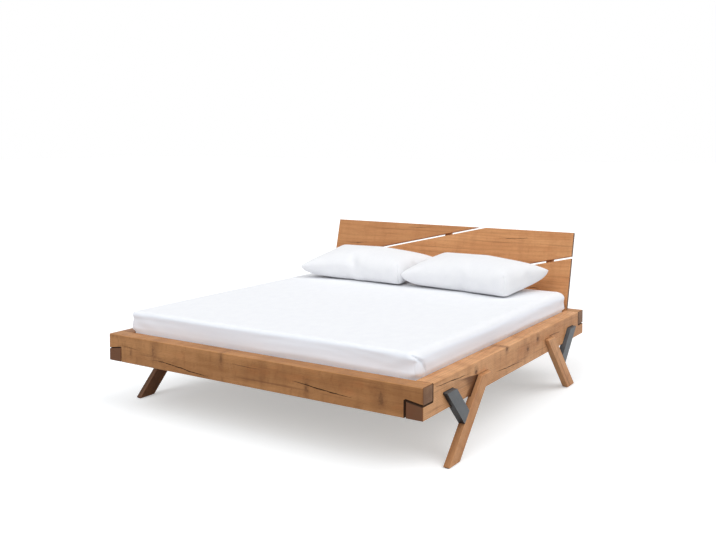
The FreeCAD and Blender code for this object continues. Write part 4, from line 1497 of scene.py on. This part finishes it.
@dataclass
class Bearers:
    """Ledgers, centre beam, post, levelling foot and every fastener."""

    fasteners: tuple[str, ...] = (
        "corner_bolts", "corner_washers", "corner_inserts", "leg_bolts", "leg_washers", "leg_inserts",
        "brace_bolts", "brace_washers", "brace_nuts", "ledger_screws", "hanger_screws", "centre_post_screws",
        "centre_foot_insert", "centre_foot", "batten_screws", "batten_lock_bolts", "batten_lock_washers",
        "batten_lock_inserts",
    )

    def build(self) -> None:
        """Dress the bearers and fasteners."""
        for node in ("right_ledger", "left_ledger", "centre_beam", "centre_post"):
            fibre = Fibre.POST if node == "centre_post" else Fibre.RAIL
            coat_nodes(PINE.build(f"pine_{node}", node_centre(node), fibre), node)
        coat_nodes(HANGER_STEEL.build("hanger_steel"), "centre_beam_hangers")
        coat_nodes(ZINC_STEEL.build("zinc_steel"), *self.fasteners)


def on_round_corner(
    spot: Sequence[float], half: Sequence[float], radius: float
) -> tuple[Vector, Vector, float]:
    """Bend a place in a rectangle into the rectangle with round corners.

    Args:
        spot: The place, measured from the middle.
        half: Half of the rectangle's size.
        radius: How round its corners are.

    Returns:
        The place to turn round, the direction from there, and the place's share of the radius.
    """
    inner = Vector(min(max(spot[axis], radius - half[axis]), half[axis] - radius) for axis in range(2))
    away = Vector((spot[0], spot[1])) - inner
    share = max(abs(away.x), abs(away.y)) / radius
    return inner, away.normalized(), share


UP_AXIS = 2
ON_FACE = 1e-7
KEY_DIGITS = 7
PANEL_GAP = 3.0


@dataclass
class SoftBlock:
    """A block of soft goods, whole or open below as a fitted cover is."""

    low: Vector
    high: Vector
    corner: float
    crisp_corner: float
    tight_edge: float
    loose_edge: float
    step: float
    open_below: bool = False
    close: tuple[float, ...] = (
        0.0, 0.004, 0.008, 0.013, 0.018, 0.024, 0.031, 0.038,
        0.046, 0.053, 0.060, 0.067, 0.074, 0.081, 0.088, 0.096,
    )
    margins: Place = (0.105, 0.105, 0.056)
    margin_gap: float = 0.005
    rise_share: float = 0.6
    hem: float = 0.03

    def lines(self, axis: int) -> list[float]:
        """Give lines across the block, close together where it curves.

        Args:
            axis: The axis that the lines lie along.

        Returns:
            The lines' places from the block's middle.
        """
        half = (self.high[axis] - self.low[axis]) / 2.0
        margin = self.margins[axis]
        close = [place for place in self.close if place < margin - self.margin_gap]
        flat = 2.0 * (half - margin)
        step = self.step * self.rise_share if axis == UP_AXIS else self.step
        count = max(2, round(flat / step))
        lines = [-half + place for place in close]
        lines += [-half + margin + flat * index / count for index in range(count + 1)]
        lines += [half - place for place in reversed(close)]
        if axis == UP_AXIS and self.open_below:
            lines = [-half] + [level for level in lines if level > -half + self.hem]
        return lines

    def place(self, spot: Sequence[float]) -> tuple[Vector, Vector]:
        """Give the place on the soft block of a place on the square one.

        Args:
            spot: The place on the square block, measured from the middle.

        Returns:
            The place and the outward direction there.
        """
        half = (self.high - self.low) / 2.0
        corner = self.crisp_corner if spot[0] < 0.0 and spot[1] < 0.0 else self.corner
        inner, away, share = on_round_corner(spot, half, corner)
        inset = corner * (1.0 - share)
        upward = 1.0 if spot[UP_AXIS] > 0.0 else -1.0
        drop = half.z - abs(spot[UP_AXIS])
        loose = max(0.0, away.x, away.y)
        edge = self.tight_edge + (self.loose_edge - self.tight_edge) * loose
        round_here = upward > 0.0 or not self.open_below
        on_top = drop < ON_FACE
        lean = 0.0 if on_top else 1.0
        if round_here and inset < edge and drop < edge:
            lean = 0.5 - 0.5 * inset / edge if on_top else 0.5 + 0.5 * drop / edge
            inset = edge * (1.0 - math.sin(lean * math.pi / 2.0))
            drop = edge * (1.0 - math.cos(lean * math.pi / 2.0))
        flat = inner + away * (corner - inset)
        out = Vector((*(away * math.sin(lean * math.pi / 2.0)), upward * math.cos(lean * math.pi / 2.0)))
        middle = (self.low + self.high) / 2.0
        return middle + Vector((flat.x, flat.y, upward * (half.z - drop))), out.normalized()

    def build(self, name: str, shape: Callable[[Vector, Vector], Vector]) -> bpy.types.Object:
        """Make the block.

        Args:
            name: The piece's name.
            shape: What a place and its outward direction become.

        Returns:
            The block, with the cloth's flat coordinates.
        """
        half = (self.high - self.low) / 2.0
        lines = [self.lines(axis) for axis in range(3)]
        body = bmesh.new()
        flat_map = body.loops.layers.uv.new(CLOTH_MAP)
        found: dict[tuple[float, ...], bmesh.types.BMVert] = {}

        def panel(first: int, second: int, third: int, level: float, flip: bool) -> None:
            """Fill one side of the block.

            Args:
                first: The axis that runs along it.
                second: The axis that runs up it.
                third: The axis that it faces.
                level: Its place on that axis.
                flip: Whether its faces turn round.
            """
            shift = 0.0 if third == UP_AXIS else PANEL_GAP * (third + 1)
            for a, b in zip(lines[first], lines[first][1:]):
                for c, d in zip(lines[second], lines[second][1:]):
                    corners = []
                    for one, two in ((a, c), (b, c), (b, d), (a, d)):
                        spot = [0.0, 0.0, 0.0]
                        spot[first], spot[second], spot[third] = one, two, level
                        key = tuple(round(value, KEY_DIGITS) for value in spot)
                        if key not in found:
                            found[key] = body.verts.new(shape(*self.place(spot)))
                        corners.append((found[key], (one, two + shift)))
                    if flip:
                        corners.reverse()
                    face = body.faces.new([vertex for vertex, _ in corners])
                    for loop, (_, flat) in zip(face.loops, corners):
                        loop[flat_map].uv = flat

        panel(0, 1, UP_AXIS, half.z, False)
        if not self.open_below:
            panel(0, 1, UP_AXIS, -half.z, True)
        for first, third, level in ((0, 1, -half.y), (1, 0, half.x)):
            panel(first, UP_AXIS, third, level, False)
            panel(first, UP_AXIS, third, -level, True)
        mesh = bpy.data.meshes.new(name)
        body.to_mesh(mesh)
        body.free()
        mesh.shade_smooth()
        return linked(name, mesh)


# Layers of the sheet's noises, and how rough each fractal is.
WAVE_LAYER = 4.0
FOLD_LAYER = 2.0
DRIFT_LAYER = 9.0
RAY_LAYER = 7.0
WAVE_FRACTAL = (1.0, 2.0, 3)
FOLD_FRACTAL = (0.9, 2.1, 3)


@dataclass
class Mattress:
    """A foam mattress in ticking with a fitted cotton sheet drawn over it."""

    rail_top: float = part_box("right_rail")[1][2]
    sheet_thickness: float = 0.0011
    sheet_step: float = 0.022
    sheet_flat: tuple[float, float] = (2.214, 2.408)
    sheet_area: float = 5.173
    corner: float = 0.045
    crisp_corner: float = 0.022
    tight_edge: float = 0.020
    loose_edge: float = 0.042
    core_gap: float = 0.0042
    core_lift: float = 0.0004
    core_step: float = 0.02
    free_start: float = 0.004
    free_end: float = 0.018
    top_slack: float = 0.0014
    wave_scale: float = 2.1
    side_fold: float = 0.012
    fold_scale: tuple[float, float] = (1.1, 17.0)
    fold_drift: float = 0.030
    drift_scale: float = 1.7
    fold_lift: float = 0.25
    fold_share: float = 0.40
    held_fold: float = 0.12
    pull_reach: float = 0.16
    ray_share: float = 0.5
    ray_scale: Place = (9.0, 16.0, 5.0)
    puff: float = 0.008
    front_flat: float = 0.65
    ear: float = 0.006
    pinch: float = 0.0028
    pinch_reach: float = 0.0045
    pinch_below: float = 0.3
    tuck: float = 0.012
    tuck_reach: float = 0.078
    tuck_foot: float = 0.010
    tuck_height: float = 0.098
    tuck_curve: float = 1.8
    tuck_crease: float = 0.0055
    tuck_lap: float = 0.35
    tuck_lap_reach: float = 0.045
    tuck_faces: tuple[float, float] = (0.2, 0.6)
    quilt: float = 0.12
    quilt_dip: float = 0.004
    quilt_power: float = 0.35
    seam_pitch: float = 0.0045
    seam_points: int = 30
    seam_foot: float = 0.004
    seam_proud: float = 0.0002
    stitch: Place = (0.0032, 0.0009, 0.0009)
    piping_radius: float = 0.0026
    piping_rise: float = 0.030
    piping_sunk: float = 0.0012
    piping_arcs: int = 8

    low: Vector = field(default_factory=lambda: Vector(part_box("fitted_sheet")[0]))
    high: Vector = field(default_factory=lambda: Vector(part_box("fitted_sheet")[1]))

    def folds(self, point: Vector, out: Vector) -> float:
        """Give the long folds of the sheet's sides and the rays at its corners.

        Args:
            point: A place on the smooth sheet.
            out: The outward direction there.

        Returns:
            The fold there, in shares of a full one.
        """
        along = point.x if abs(out.y) > abs(out.x) else point.y
        drift = noise.noise(Vector((along * self.drift_scale, 0.0, DRIFT_LAYER)))
        rise = point.z + self.fold_drift * drift
        spot = Vector((along * self.fold_scale[0], rise * self.fold_scale[1], FOLD_LAYER))
        fold = noise.fractal(spot, *FOLD_FRACTAL)
        near = min(abs(point.x - self.low.x), abs(self.high.x - point.x))
        near += min(abs(point.y - self.low.y), abs(self.high.y - point.y))
        pull = math.exp(-near / self.pull_reach)
        away, up, down = self.ray_scale
        ray = noise.noise(Vector((near * away + point.z * up, point.z * down, RAY_LAYER)))
        return self.fold_lift + self.fold_share * fold + self.ray_share * pull * ray

    def drawn_sheet(self, point: Vector, out: Vector) -> Vector:
        """Give the sheet its slack, side folds and corner pulls.

        Args:
            point: A place on the smooth sheet.
            out: The outward direction there.

        Returns:
            The place on the worn-in sheet.
        """
        top = max(out.z, 0.0)
        side = 1.0 - top
        spot = Vector((point.x * self.wave_scale, point.y * self.wave_scale, WAVE_LAYER))
        wave = max(-1.0, min(1.0, noise.fractal(spot, *WAVE_FRACTAL)))
        shift = -self.top_slack * top * (0.5 + 0.5 * wave)
        free = smooth_step(self.rail_top + self.free_start, self.rail_top + self.free_end, point.z)
        ease = self.held_fold + (1.0 - self.held_fold) * free
        shift += side * ease * self.side_fold * self.folds(point, out)
        ahead = max(0.0, -out.y) * (1.0 - abs(out.x))
        shift += side * free * self.puff * (1.0 - self.front_flat * ahead)
        shift += side * free * self.ear * max(0.0, 2.0 * out.x * out.y)
        start, end = self.tuck_faces
        if point.x <= 0.0 or point.y >= 0.0:
            shift -= self.pinched_corner(out) * (self.pinch_below + (1.0 - self.pinch_below) * free)
        elif out.x > start:
            shift += self.tucked_corner(point) * free * smooth_step(start, end, out.x)
        return point + out * shift

    def pinched_corner(self, out: Vector) -> float:
        """Give the dent along a corner's seam.

        Args:
            out: The outward direction.

        Returns:
            How far the sheet dips there.
        """
        flat = Vector((abs(out.x), abs(out.y)))
        if flat.length <= self.tuck_faces[0]:
            return 0.0
        turned = abs(math.atan2(flat.y, flat.x) - math.pi / 4.0) * self.corner
        return self.pinch * math.exp(-((turned / self.pinch_reach) ** 2))

    def tucked_corner(self, point: Vector) -> float:
        """Give the fold of the corner that is tucked round from the foot's front.

        Args:
            point: A place on the smooth sheet.

        Returns:
            How far the sheet stands out there.
        """
        rise = min(1.0, max(0.0, (point.z - self.rail_top - self.tuck_foot) / self.tuck_height))
        behind = point.y - self.low.y - self.tuck_reach * (1.0 - rise ** self.tuck_curve)
        crease = -self.tuck * math.exp(-((behind / self.tuck_crease) ** 2))
        if behind >= 0.0:
            return crease
        return crease + self.tuck_lap * self.tuck * math.exp(behind / self.tuck_lap_reach)

    def quilted(self, point: Vector, out: Vector) -> Vector:
        """Give the mattress's underside its quilting.

        Args:
            point: A place on the smooth block.
            out: The outward direction there.

        Returns:
            The place on the quilted block.
        """
        under = max(-out.z, 0.0)
        first = abs(math.sin(math.pi * (point.x + point.y) / self.quilt))
        second = abs(math.sin(math.pi * (point.x - point.y) / self.quilt))
        dip = self.quilt_dip * (1.0 - min(first, second) ** self.quilt_power)
        return point - out * dip * under

    def seam_lines(self) -> tuple[list[Vector], list[tuple[int, int]]]:
        """Give the seams of the sheet's four corners.

        Returns:
            The points and the edges between them.
        """
        low, high = self.low, self.high
        start = low.z + self.seam_foot
        last = self.seam_points - 1
        points: list[Vector] = []
        edges: list[tuple[int, int]] = []
        for across in (-1.0, 1.0):
            for along in (-1.0, 1.0):
                out = Vector((across, along, 0.0)).normalized()
                corner = self.crisp_corner if across < 0.0 and along < 0.0 else self.corner
                heart = Vector(((high.x - corner) * across, 0.0, 0.0))
                heart.y = high.y - corner if along > 0.0 else low.y + corner
                first = len(points)
                for index in range(self.seam_points):
                    heart.z = start + (high.z - self.loose_edge - start) * index / last
                    points.append(self.drawn_sheet(heart + out * corner, out) + out * self.seam_proud)
                edges += [(first + index, first + index + 1) for index in range(last)]
        return points, edges

    def build(self) -> None:
        """Make the mattress, the sheet and their seams."""
        soft = (self.corner, self.crisp_corner, self.tight_edge, self.loose_edge)
        core = self.build_core(soft)
        cover = SoftBlock(self.low, self.high, *soft, self.sheet_step, open_below=True)
        sheet = cover.build("cotton_fitted_sheet", self.drawn_sheet)
        wall = sheet.modifiers.new("cloth_thickness", "SOLIDIFY")
        wall.thickness = self.sheet_thickness
        wall.offset = -1.0
        settle(sheet)
        sheet.data.shade_smooth()
        coat(sheet, SHEET_COTTON.build("sheet_cotton"))
        hand_over(sheet, "mattress", "sheet_cotton", "fitted_sheet")
        points, edges = self.seam_lines()
        seams = mesh_of("sheet_corner_stitches", points, [], edges)
        thread = THREAD.build("sheet_thread")
        stitch_tree().apply(seams, Pitch=self.seam_pitch, Stitch_Size=self.stitch, Material=thread)
        settle(seams)
        seams.data.shade_smooth()
        hand_over(seams, "mattress", "sheet_cotton")

    def build_core(self, soft: Sequence[float]) -> bpy.types.Object:
        """Make the mattress inside the sheet.

        Args:
            soft: The sheet's corner, crisp corner, tight edge and loose edge.

        Returns:
            The mattress.
        """
        inside = Vector((self.core_gap, self.core_gap, 0.0))
        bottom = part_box("mattress")[0][2] + self.core_lift
        low = Vector((self.low.x, self.low.y, bottom)) + inside
        high = self.high - inside - Vector((0.0, 0.0, self.core_gap))
        ticking = TICKING.build("mattress_ticking")
        block = SoftBlock(low, high, *(size - self.core_gap for size in soft), self.core_step)
        core = block.build("mattress_core", self.quilted)
        coat(core, ticking)
        hand_over(core, "mattress", "mattress_ticking", "mattress")
        self.add_piping(low, high, ticking)
        return core

    def add_piping(self, low: Vector, high: Vector, ticking: bpy.types.Material) -> None:
        """Run a piping round the mattress's lower edge.

        Args:
            low: The mattress's lowest corner.
            high: Its highest corner.
            ticking: The piping's material.
        """
        turn = self.corner - self.core_gap
        reach = turn - self.piping_sunk
        level = low.z + self.piping_rise
        points = []
        for across, along, start in ((1, 1, 0.0), (-1, 1, 90.0), (-1, -1, 180.0), (1, -1, 270.0)):
            centre_x = high.x - turn if across > 0 else low.x + turn
            centre_y = high.y - turn if along > 0 else low.y + turn
            for index in range(self.piping_arcs + 1):
                angle = math.radians(start + 90.0 * index / self.piping_arcs)
                points.append(Vector((
                    centre_x + reach * math.cos(angle),
                    centre_y + reach * math.sin(angle),
                    level,
                )))
        edges = [(index, (index + 1) % len(points)) for index in range(len(points))]
        piping = mesh_of("mattress_piping", points, [], edges)
        cord_tree().apply(piping, Radius=self.piping_radius, Material=ticking)
        settle(piping)
        piping.data.shade_smooth()
        hand_over(piping, "mattress", "mattress_ticking")


PILLOW_LIFT = 0.0005
PILLOW_CLOTH = {
    "quality": 8,
    "mass": 0.25,
    "air_damping": 3.0,
    "tension_stiffness": 30.0,
    "compression_stiffness": 2.0,
    "shear_stiffness": 1.0,
    "bending_stiffness": 3.0,
    "use_pressure": True,
    "uniform_pressure_force": 5.0,
}


@dataclass
class Pillow:
    """A filled pillow in a sewn cotton case, lying on the sheet.

    Its corners' radii come in the order front left, front right, rear left, rear right.
    """

    side: str
    centre: tuple[float, float]
    turn: float
    seed: float
    length: float
    corners: tuple[float, float, float, float]
    rest_level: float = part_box("fitted_sheet")[1][2] + PILLOW_LIFT
    seam_rise: float = 0.1095
    tilt: float = 5.0
    depth: float = 0.425
    swell: float = 0.108
    cut: tuple[float, float] = (0.862, 0.505)
    step: float = 0.0125
    panel_gap: float = 2.0
    plump: float = 0.02
    ruffle: float = 0.004
    ruffle_scale: float = 11.0
    frames: int = 32
    give: float = 0.003
    clear: float = 30.0
    waist_reach: float = 0.08
    lower_bulge: float = 0.06
    bulge_power: float = 0.7
    lower_power: float = 0.54
    sag: float = 1.04
    iron_before: int = 16
    iron_after: int = 9
    quick_power: float = 0.6
    quick_draw: tuple[float, float] = (0.05, 0.09)

    def sewn_spot(self, u: float, v: float, way: float) -> Vector:
        """Give a place on the flat case, a little swollen so that filling has a way to go.

        Args:
            u: The place along the case, from -1 to 1.
            v: The place across it, from -1 to 1.
            way: 1 on the upper panel or -1 on the lower one.

        Returns:
            The place.
        """
        half = (self.cut[0] / 2.0, self.cut[1] / 2.0)
        corner = self.corners[(1 if u > 0.0 else 0) + (2 if v > 0.0 else 0)]
        inner, away, share = on_round_corner((u * half[0], v * half[1]), half, corner)
        spot = (inner + away * corner * share).to_3d()
        bow = (1.0 - u * u) * (1.0 - v * v)
        ruffle = noise.noise(spot * self.ruffle_scale + Vector((0.0, 0.0, self.seed + way)))
        spot.z = way * (self.plump * bow + self.ruffle * ruffle * bow)
        return spot

    def case(self) -> bpy.types.Object:
        """Sew the flat case of two panels.

        Returns:
            The case.
        """
        columns, rows = (round(size / self.step) for size in self.cut)
        body = bmesh.new()
        flat_map = body.loops.layers.uv.new(CLOTH_MAP)
        rim: dict[tuple[int, int], bmesh.types.BMVert] = {}
        panels = []
        for way in (1.0, -1.0):
            grid = dict(rim)
            for i in range(columns + 1):
                for j in range(rows + 1):
                    if (i, j) in grid:
                        continue
                    spot = self.sewn_spot(2.0 * i / columns - 1.0, 2.0 * j / rows - 1.0, way)
                    grid[i, j] = body.verts.new(spot)
                    if i in (0, columns) or j in (0, rows):
                        rim[i, j] = grid[i, j]
            panels.append((way, grid))
        for way, grid in panels:
            shift = self.panel_gap if way < 0.0 else 0.0
            for i in range(columns):
                for j in range(rows):
                    places = [(i, j), (i + 1, j), (i + 1, j + 1), (i, j + 1)]
                    if way < 0.0:
                        places.reverse()
                    face = body.faces.new([grid[place] for place in places])
                    for loop, (column, row) in zip(face.loops, places):
                        loop[flat_map].uv = (column * self.step, row * self.step + shift)
        mesh = bpy.data.meshes.new(f"cotton_pillow_{self.side}")
        body.to_mesh(mesh)
        body.free()
        return linked(mesh.name, mesh)

    def fill(self, case: bpy.types.Object) -> None:
        """Fill the case by a cloth simulation and apply it.

        Args:
            case: The sewn case.
        """
        cloth = case.modifiers.new("filling", "CLOTH")
        for name, value in PILLOW_CLOTH.items():
            setattr(cloth.settings, name, value)
        cloth.settings.effector_weights.gravity = 0.0
        cloth.point_cache.frame_start = 1
        cloth.point_cache.frame_end = self.frames
        for step in range(1, self.frames + 1):
            bpy.context.scene.frame_set(step)
        settle(case)
        bpy.context.scene.frame_set(1)

    @staticmethod
    def iron(case: bpy.types.Object, rounds: int) -> None:
        """Smooth the case.

        Args:
            case: The filled case.
            rounds: How often it is smoothed.
        """
        smooth = case.modifiers.new("ironed", "SMOOTH")
        smooth.factor = 0.5
        smooth.iterations = rounds
        settle(case)

    def lay(self, case: bpy.types.Object) -> None:
        """Bring the pillow to size and lay it on the sheet.

        Args:
            case: The filled case.
        """
        spots = [vertex.co.copy() for vertex in case.data.vertices]
        reach = [max(abs(spot[axis]) for spot in spots) for axis in range(3)]
        waist = max(abs(spot.y) for spot in spots if abs(spot.x) < self.waist_reach)
        scale = (self.length / 2.0 / reach[0], self.depth / 2.0 / waist, self.swell / reach[2])
        sizes = [round(value, 3) for value in reach]
        REPORT.info("pillow %s filled to %s, waist %.3f", self.side, sizes, waist)
        place = Matrix.Translation((*self.centre, self.rest_level + self.seam_rise))
        place = place @ Matrix.Rotation(math.radians(self.turn), 4, "Z")
        place = place @ Matrix.Rotation(math.radians(self.tilt), 4, "X")
        for vertex in case.data.vertices:
            sized = Vector(vertex.co[axis] * scale[axis] for axis in range(3))
            below = max(0.0, -sized.z / self.swell)
            bulge = 1.0 + self.lower_bulge * below ** self.bulge_power
            if below:
                sized.z = -self.seam_rise * self.sag * below ** self.lower_power
            spot = place @ Vector((sized.x * bulge, sized.y * bulge, sized.z))
            above = (spot.z - self.rest_level) / self.give
            if above < self.clear:
                above = math.log1p(math.exp(above))
            spot.z = self.rest_level + self.give * above
            vertex.co = spot

    def build(self, cotton: bpy.types.Material) -> None:
        """Sew, fill and lay the pillow.

        Args:
            cotton: The case's material.
        """
        case = self.case()
        self.fill(case)
        self.iron(case, self.iron_before)
        self.lay(case)
        self.iron(case, self.iron_after)
        finer = case.modifiers.new("finer", "SUBSURF")
        finer.levels = 1
        finer.render_levels = 1
        settle(case)
        case.data.shade_smooth()
        coat(case, cotton)
        hand_over(case, f"pillow_{self.side}", "pillow_cotton", f"pillow_{self.side}")


@dataclass
class Lamp:
    """A wide soft lamp far above the studio."""

    name: str
    toward: Place
    level: float
    spread: float
    tint: Colour = (1.0, 1.0, 1.0)
    distance: float = 6.0

    def hang(self) -> None:
        """Hang the lamp and turn it to the bed."""
        light = bpy.data.lights.new(self.name, "SUN")
        light.energy = self.level * math.pi
        light.angle = math.radians(self.spread)
        light.color = self.tint
        lamp = bpy.data.objects.new(self.name, light)
        lamp.location = Vector(self.toward) * self.distance
        lamp.rotation_euler = (-Vector(self.toward)).to_track_quat("-Z", "Y").to_euler()
        bpy.context.scene.collection.objects.link(lamp)


@dataclass
class Studio:
    """White floor and surround, soft lamps and the camera, whose view is given in pixels."""

    image_width: float = 716.0
    image_centre: tuple[float, float] = (358.0, 270.0)
    view_centre: tuple[float, float] = (321.38, 190.0)
    focal_length: float = 884.29
    sensor_width: float = 36.0
    view_end: float = 200.0
    eye: Place = (2.7923, -4.5959, 1.5155)
    yaw: float = 34.2157
    pitch: float = 3.103
    white: Colour = (1.0, 1.0, 1.0)
    ambient: float = 0.42
    floor_reach: float = 60.0
    floor_colour: Colour = (0.785, 0.80, 0.815)
    floor_lift: float = 0.385
    floor_bounce: float = 0.55
    floor_roughness: float = 0.9
    lamps: tuple[Lamp, ...] = (
        Lamp("key_lamp", (0.64, 0.05, 0.77), 0.41, 50.0),
        Lamp("top_lamp", (-0.10, 0.05, 0.99), 0.035, 60.0),
        Lamp("front_lamp", (-0.10, -0.68, 0.73), 0.43, 50.0, (0.955, 0.985, 1.0)),
    )

    def seen(self, tree: bpy.types.NodeTree) -> Socket:
        """Give 1 where a ray comes from the eye, a mirror or glass.

        Args:
            tree: The node tree to write in.

        Returns:
            The socket.
        """
        ray = tree.nodes.new("ShaderNodeLightPath")
        found = ray.outputs["Is Camera Ray"]
        for name in ("Is Glossy Ray", "Is Transmission Ray"):
            node = tree.nodes.new("ShaderNodeMath")
            node.operation = "MAXIMUM"
            tree.links.new(found, node.inputs[0])
            tree.links.new(ray.outputs[name], node.inputs[1])
            found = node.outputs[0]
        return found

    def surround(self) -> None:
        """Make the white surround."""
        world = bpy.data.worlds.new("white_surround")
        world.use_nodes = True
        tree = world.node_tree
        backdrop = next(node for node in tree.nodes if node.type == "BACKGROUND")
        backdrop.inputs["Color"].default_value = (*self.white, 1.0)
        level = tree.nodes.new("ShaderNodeMapRange")
        level.inputs["To Min"].default_value = self.ambient
        level.inputs["To Max"].default_value = 1.0
        tree.links.new(self.seen(tree), level.inputs["Value"])
        tree.links.new(level.outputs["Result"], backdrop.inputs["Strength"])
        bpy.context.scene.world = world

    def floor(self) -> None:
        """Lay the white floor, which keeps the bed's shadow."""
        reach = self.floor_reach
        corners = [Vector((x * reach, y * reach, 0.0)) for x, y in ((-1, -1), (1, -1), (1, 1), (-1, 1))]
        piece = mesh_of("studio_floor", corners, [(0, 1, 2, 3)])
        board = ShaderBoard("studio_floor")
        seen = self.seen(board.tree)
        board.set("Base Color", board.mix(seen, (self.floor_bounce,) * 3, self.floor_colour))
        board.set("Roughness", self.floor_roughness)
        board.set("Specular IOR Level", 0.0)
        board.set("Emission Color", self.white)
        board.set("Emission Strength", board.times(seen, self.floor_lift))
        coat(piece, board.material)

    def camera(self) -> None:
        """Set the camera at the photograph's viewing angle."""
        data = bpy.data.cameras.new("photo_camera")
        data.sensor_fit = "HORIZONTAL"
        data.sensor_width = self.sensor_width
        data.lens = self.focal_length * self.sensor_width / self.image_width
        data.shift_x = (self.image_centre[0] - self.view_centre[0]) / self.image_width
        data.shift_y = (self.view_centre[1] - self.image_centre[1]) / self.image_width
        data.clip_end = self.view_end
        eye = bpy.data.objects.new("photo_camera", data)
        eye.location = self.eye
        eye.rotation_euler = (math.radians(90.0 - self.pitch), 0.0, math.radians(self.yaw))
        bpy.context.scene.collection.objects.link(eye)
        bpy.context.scene.camera = eye

    def build(self) -> None:
        """Make the whole studio."""
        self.surround()
        self.floor()
        self.camera()
        for lamp in self.lamps:
            lamp.hang()
        bpy.context.scene.view_settings.view_transform = "Standard"


LEFT_PILLOW = Pillow(
    side="left",
    centre=(-0.4225, 0.7384),
    turn=0.0,
    seed=1.0,
    length=0.822,
    corners=(0.012, 0.11, 0.15, 0.012),
)
RIGHT_PILLOW = Pillow(
    side="right",
    centre=(0.3755, 0.7204),
    turn=-7.0,
    seed=5.0,
    length=0.816,
    corners=(0.06, 0.11, 0.12, 0.012),
)


def main() -> None:
    """Build the studio and the bed's pieces in order."""
    logging.basicConfig(level=logging.INFO, format="%(name)s: %(message)s", stream=sys.stdout)
    Studio().build()
    for part in (Beams(), Headboard(), Legs(), SlattedBases(), Bearers(), Mattress()):
        part.build()
        REPORT.info("%s done", type(part).__name__)
    cotton = PILLOW_COTTON.build("pillow_cotton")
    for pillow in (LEFT_PILLOW, RIGHT_PILLOW):
        pillow.build(cotton)


if __name__ == "__main__":
    main()
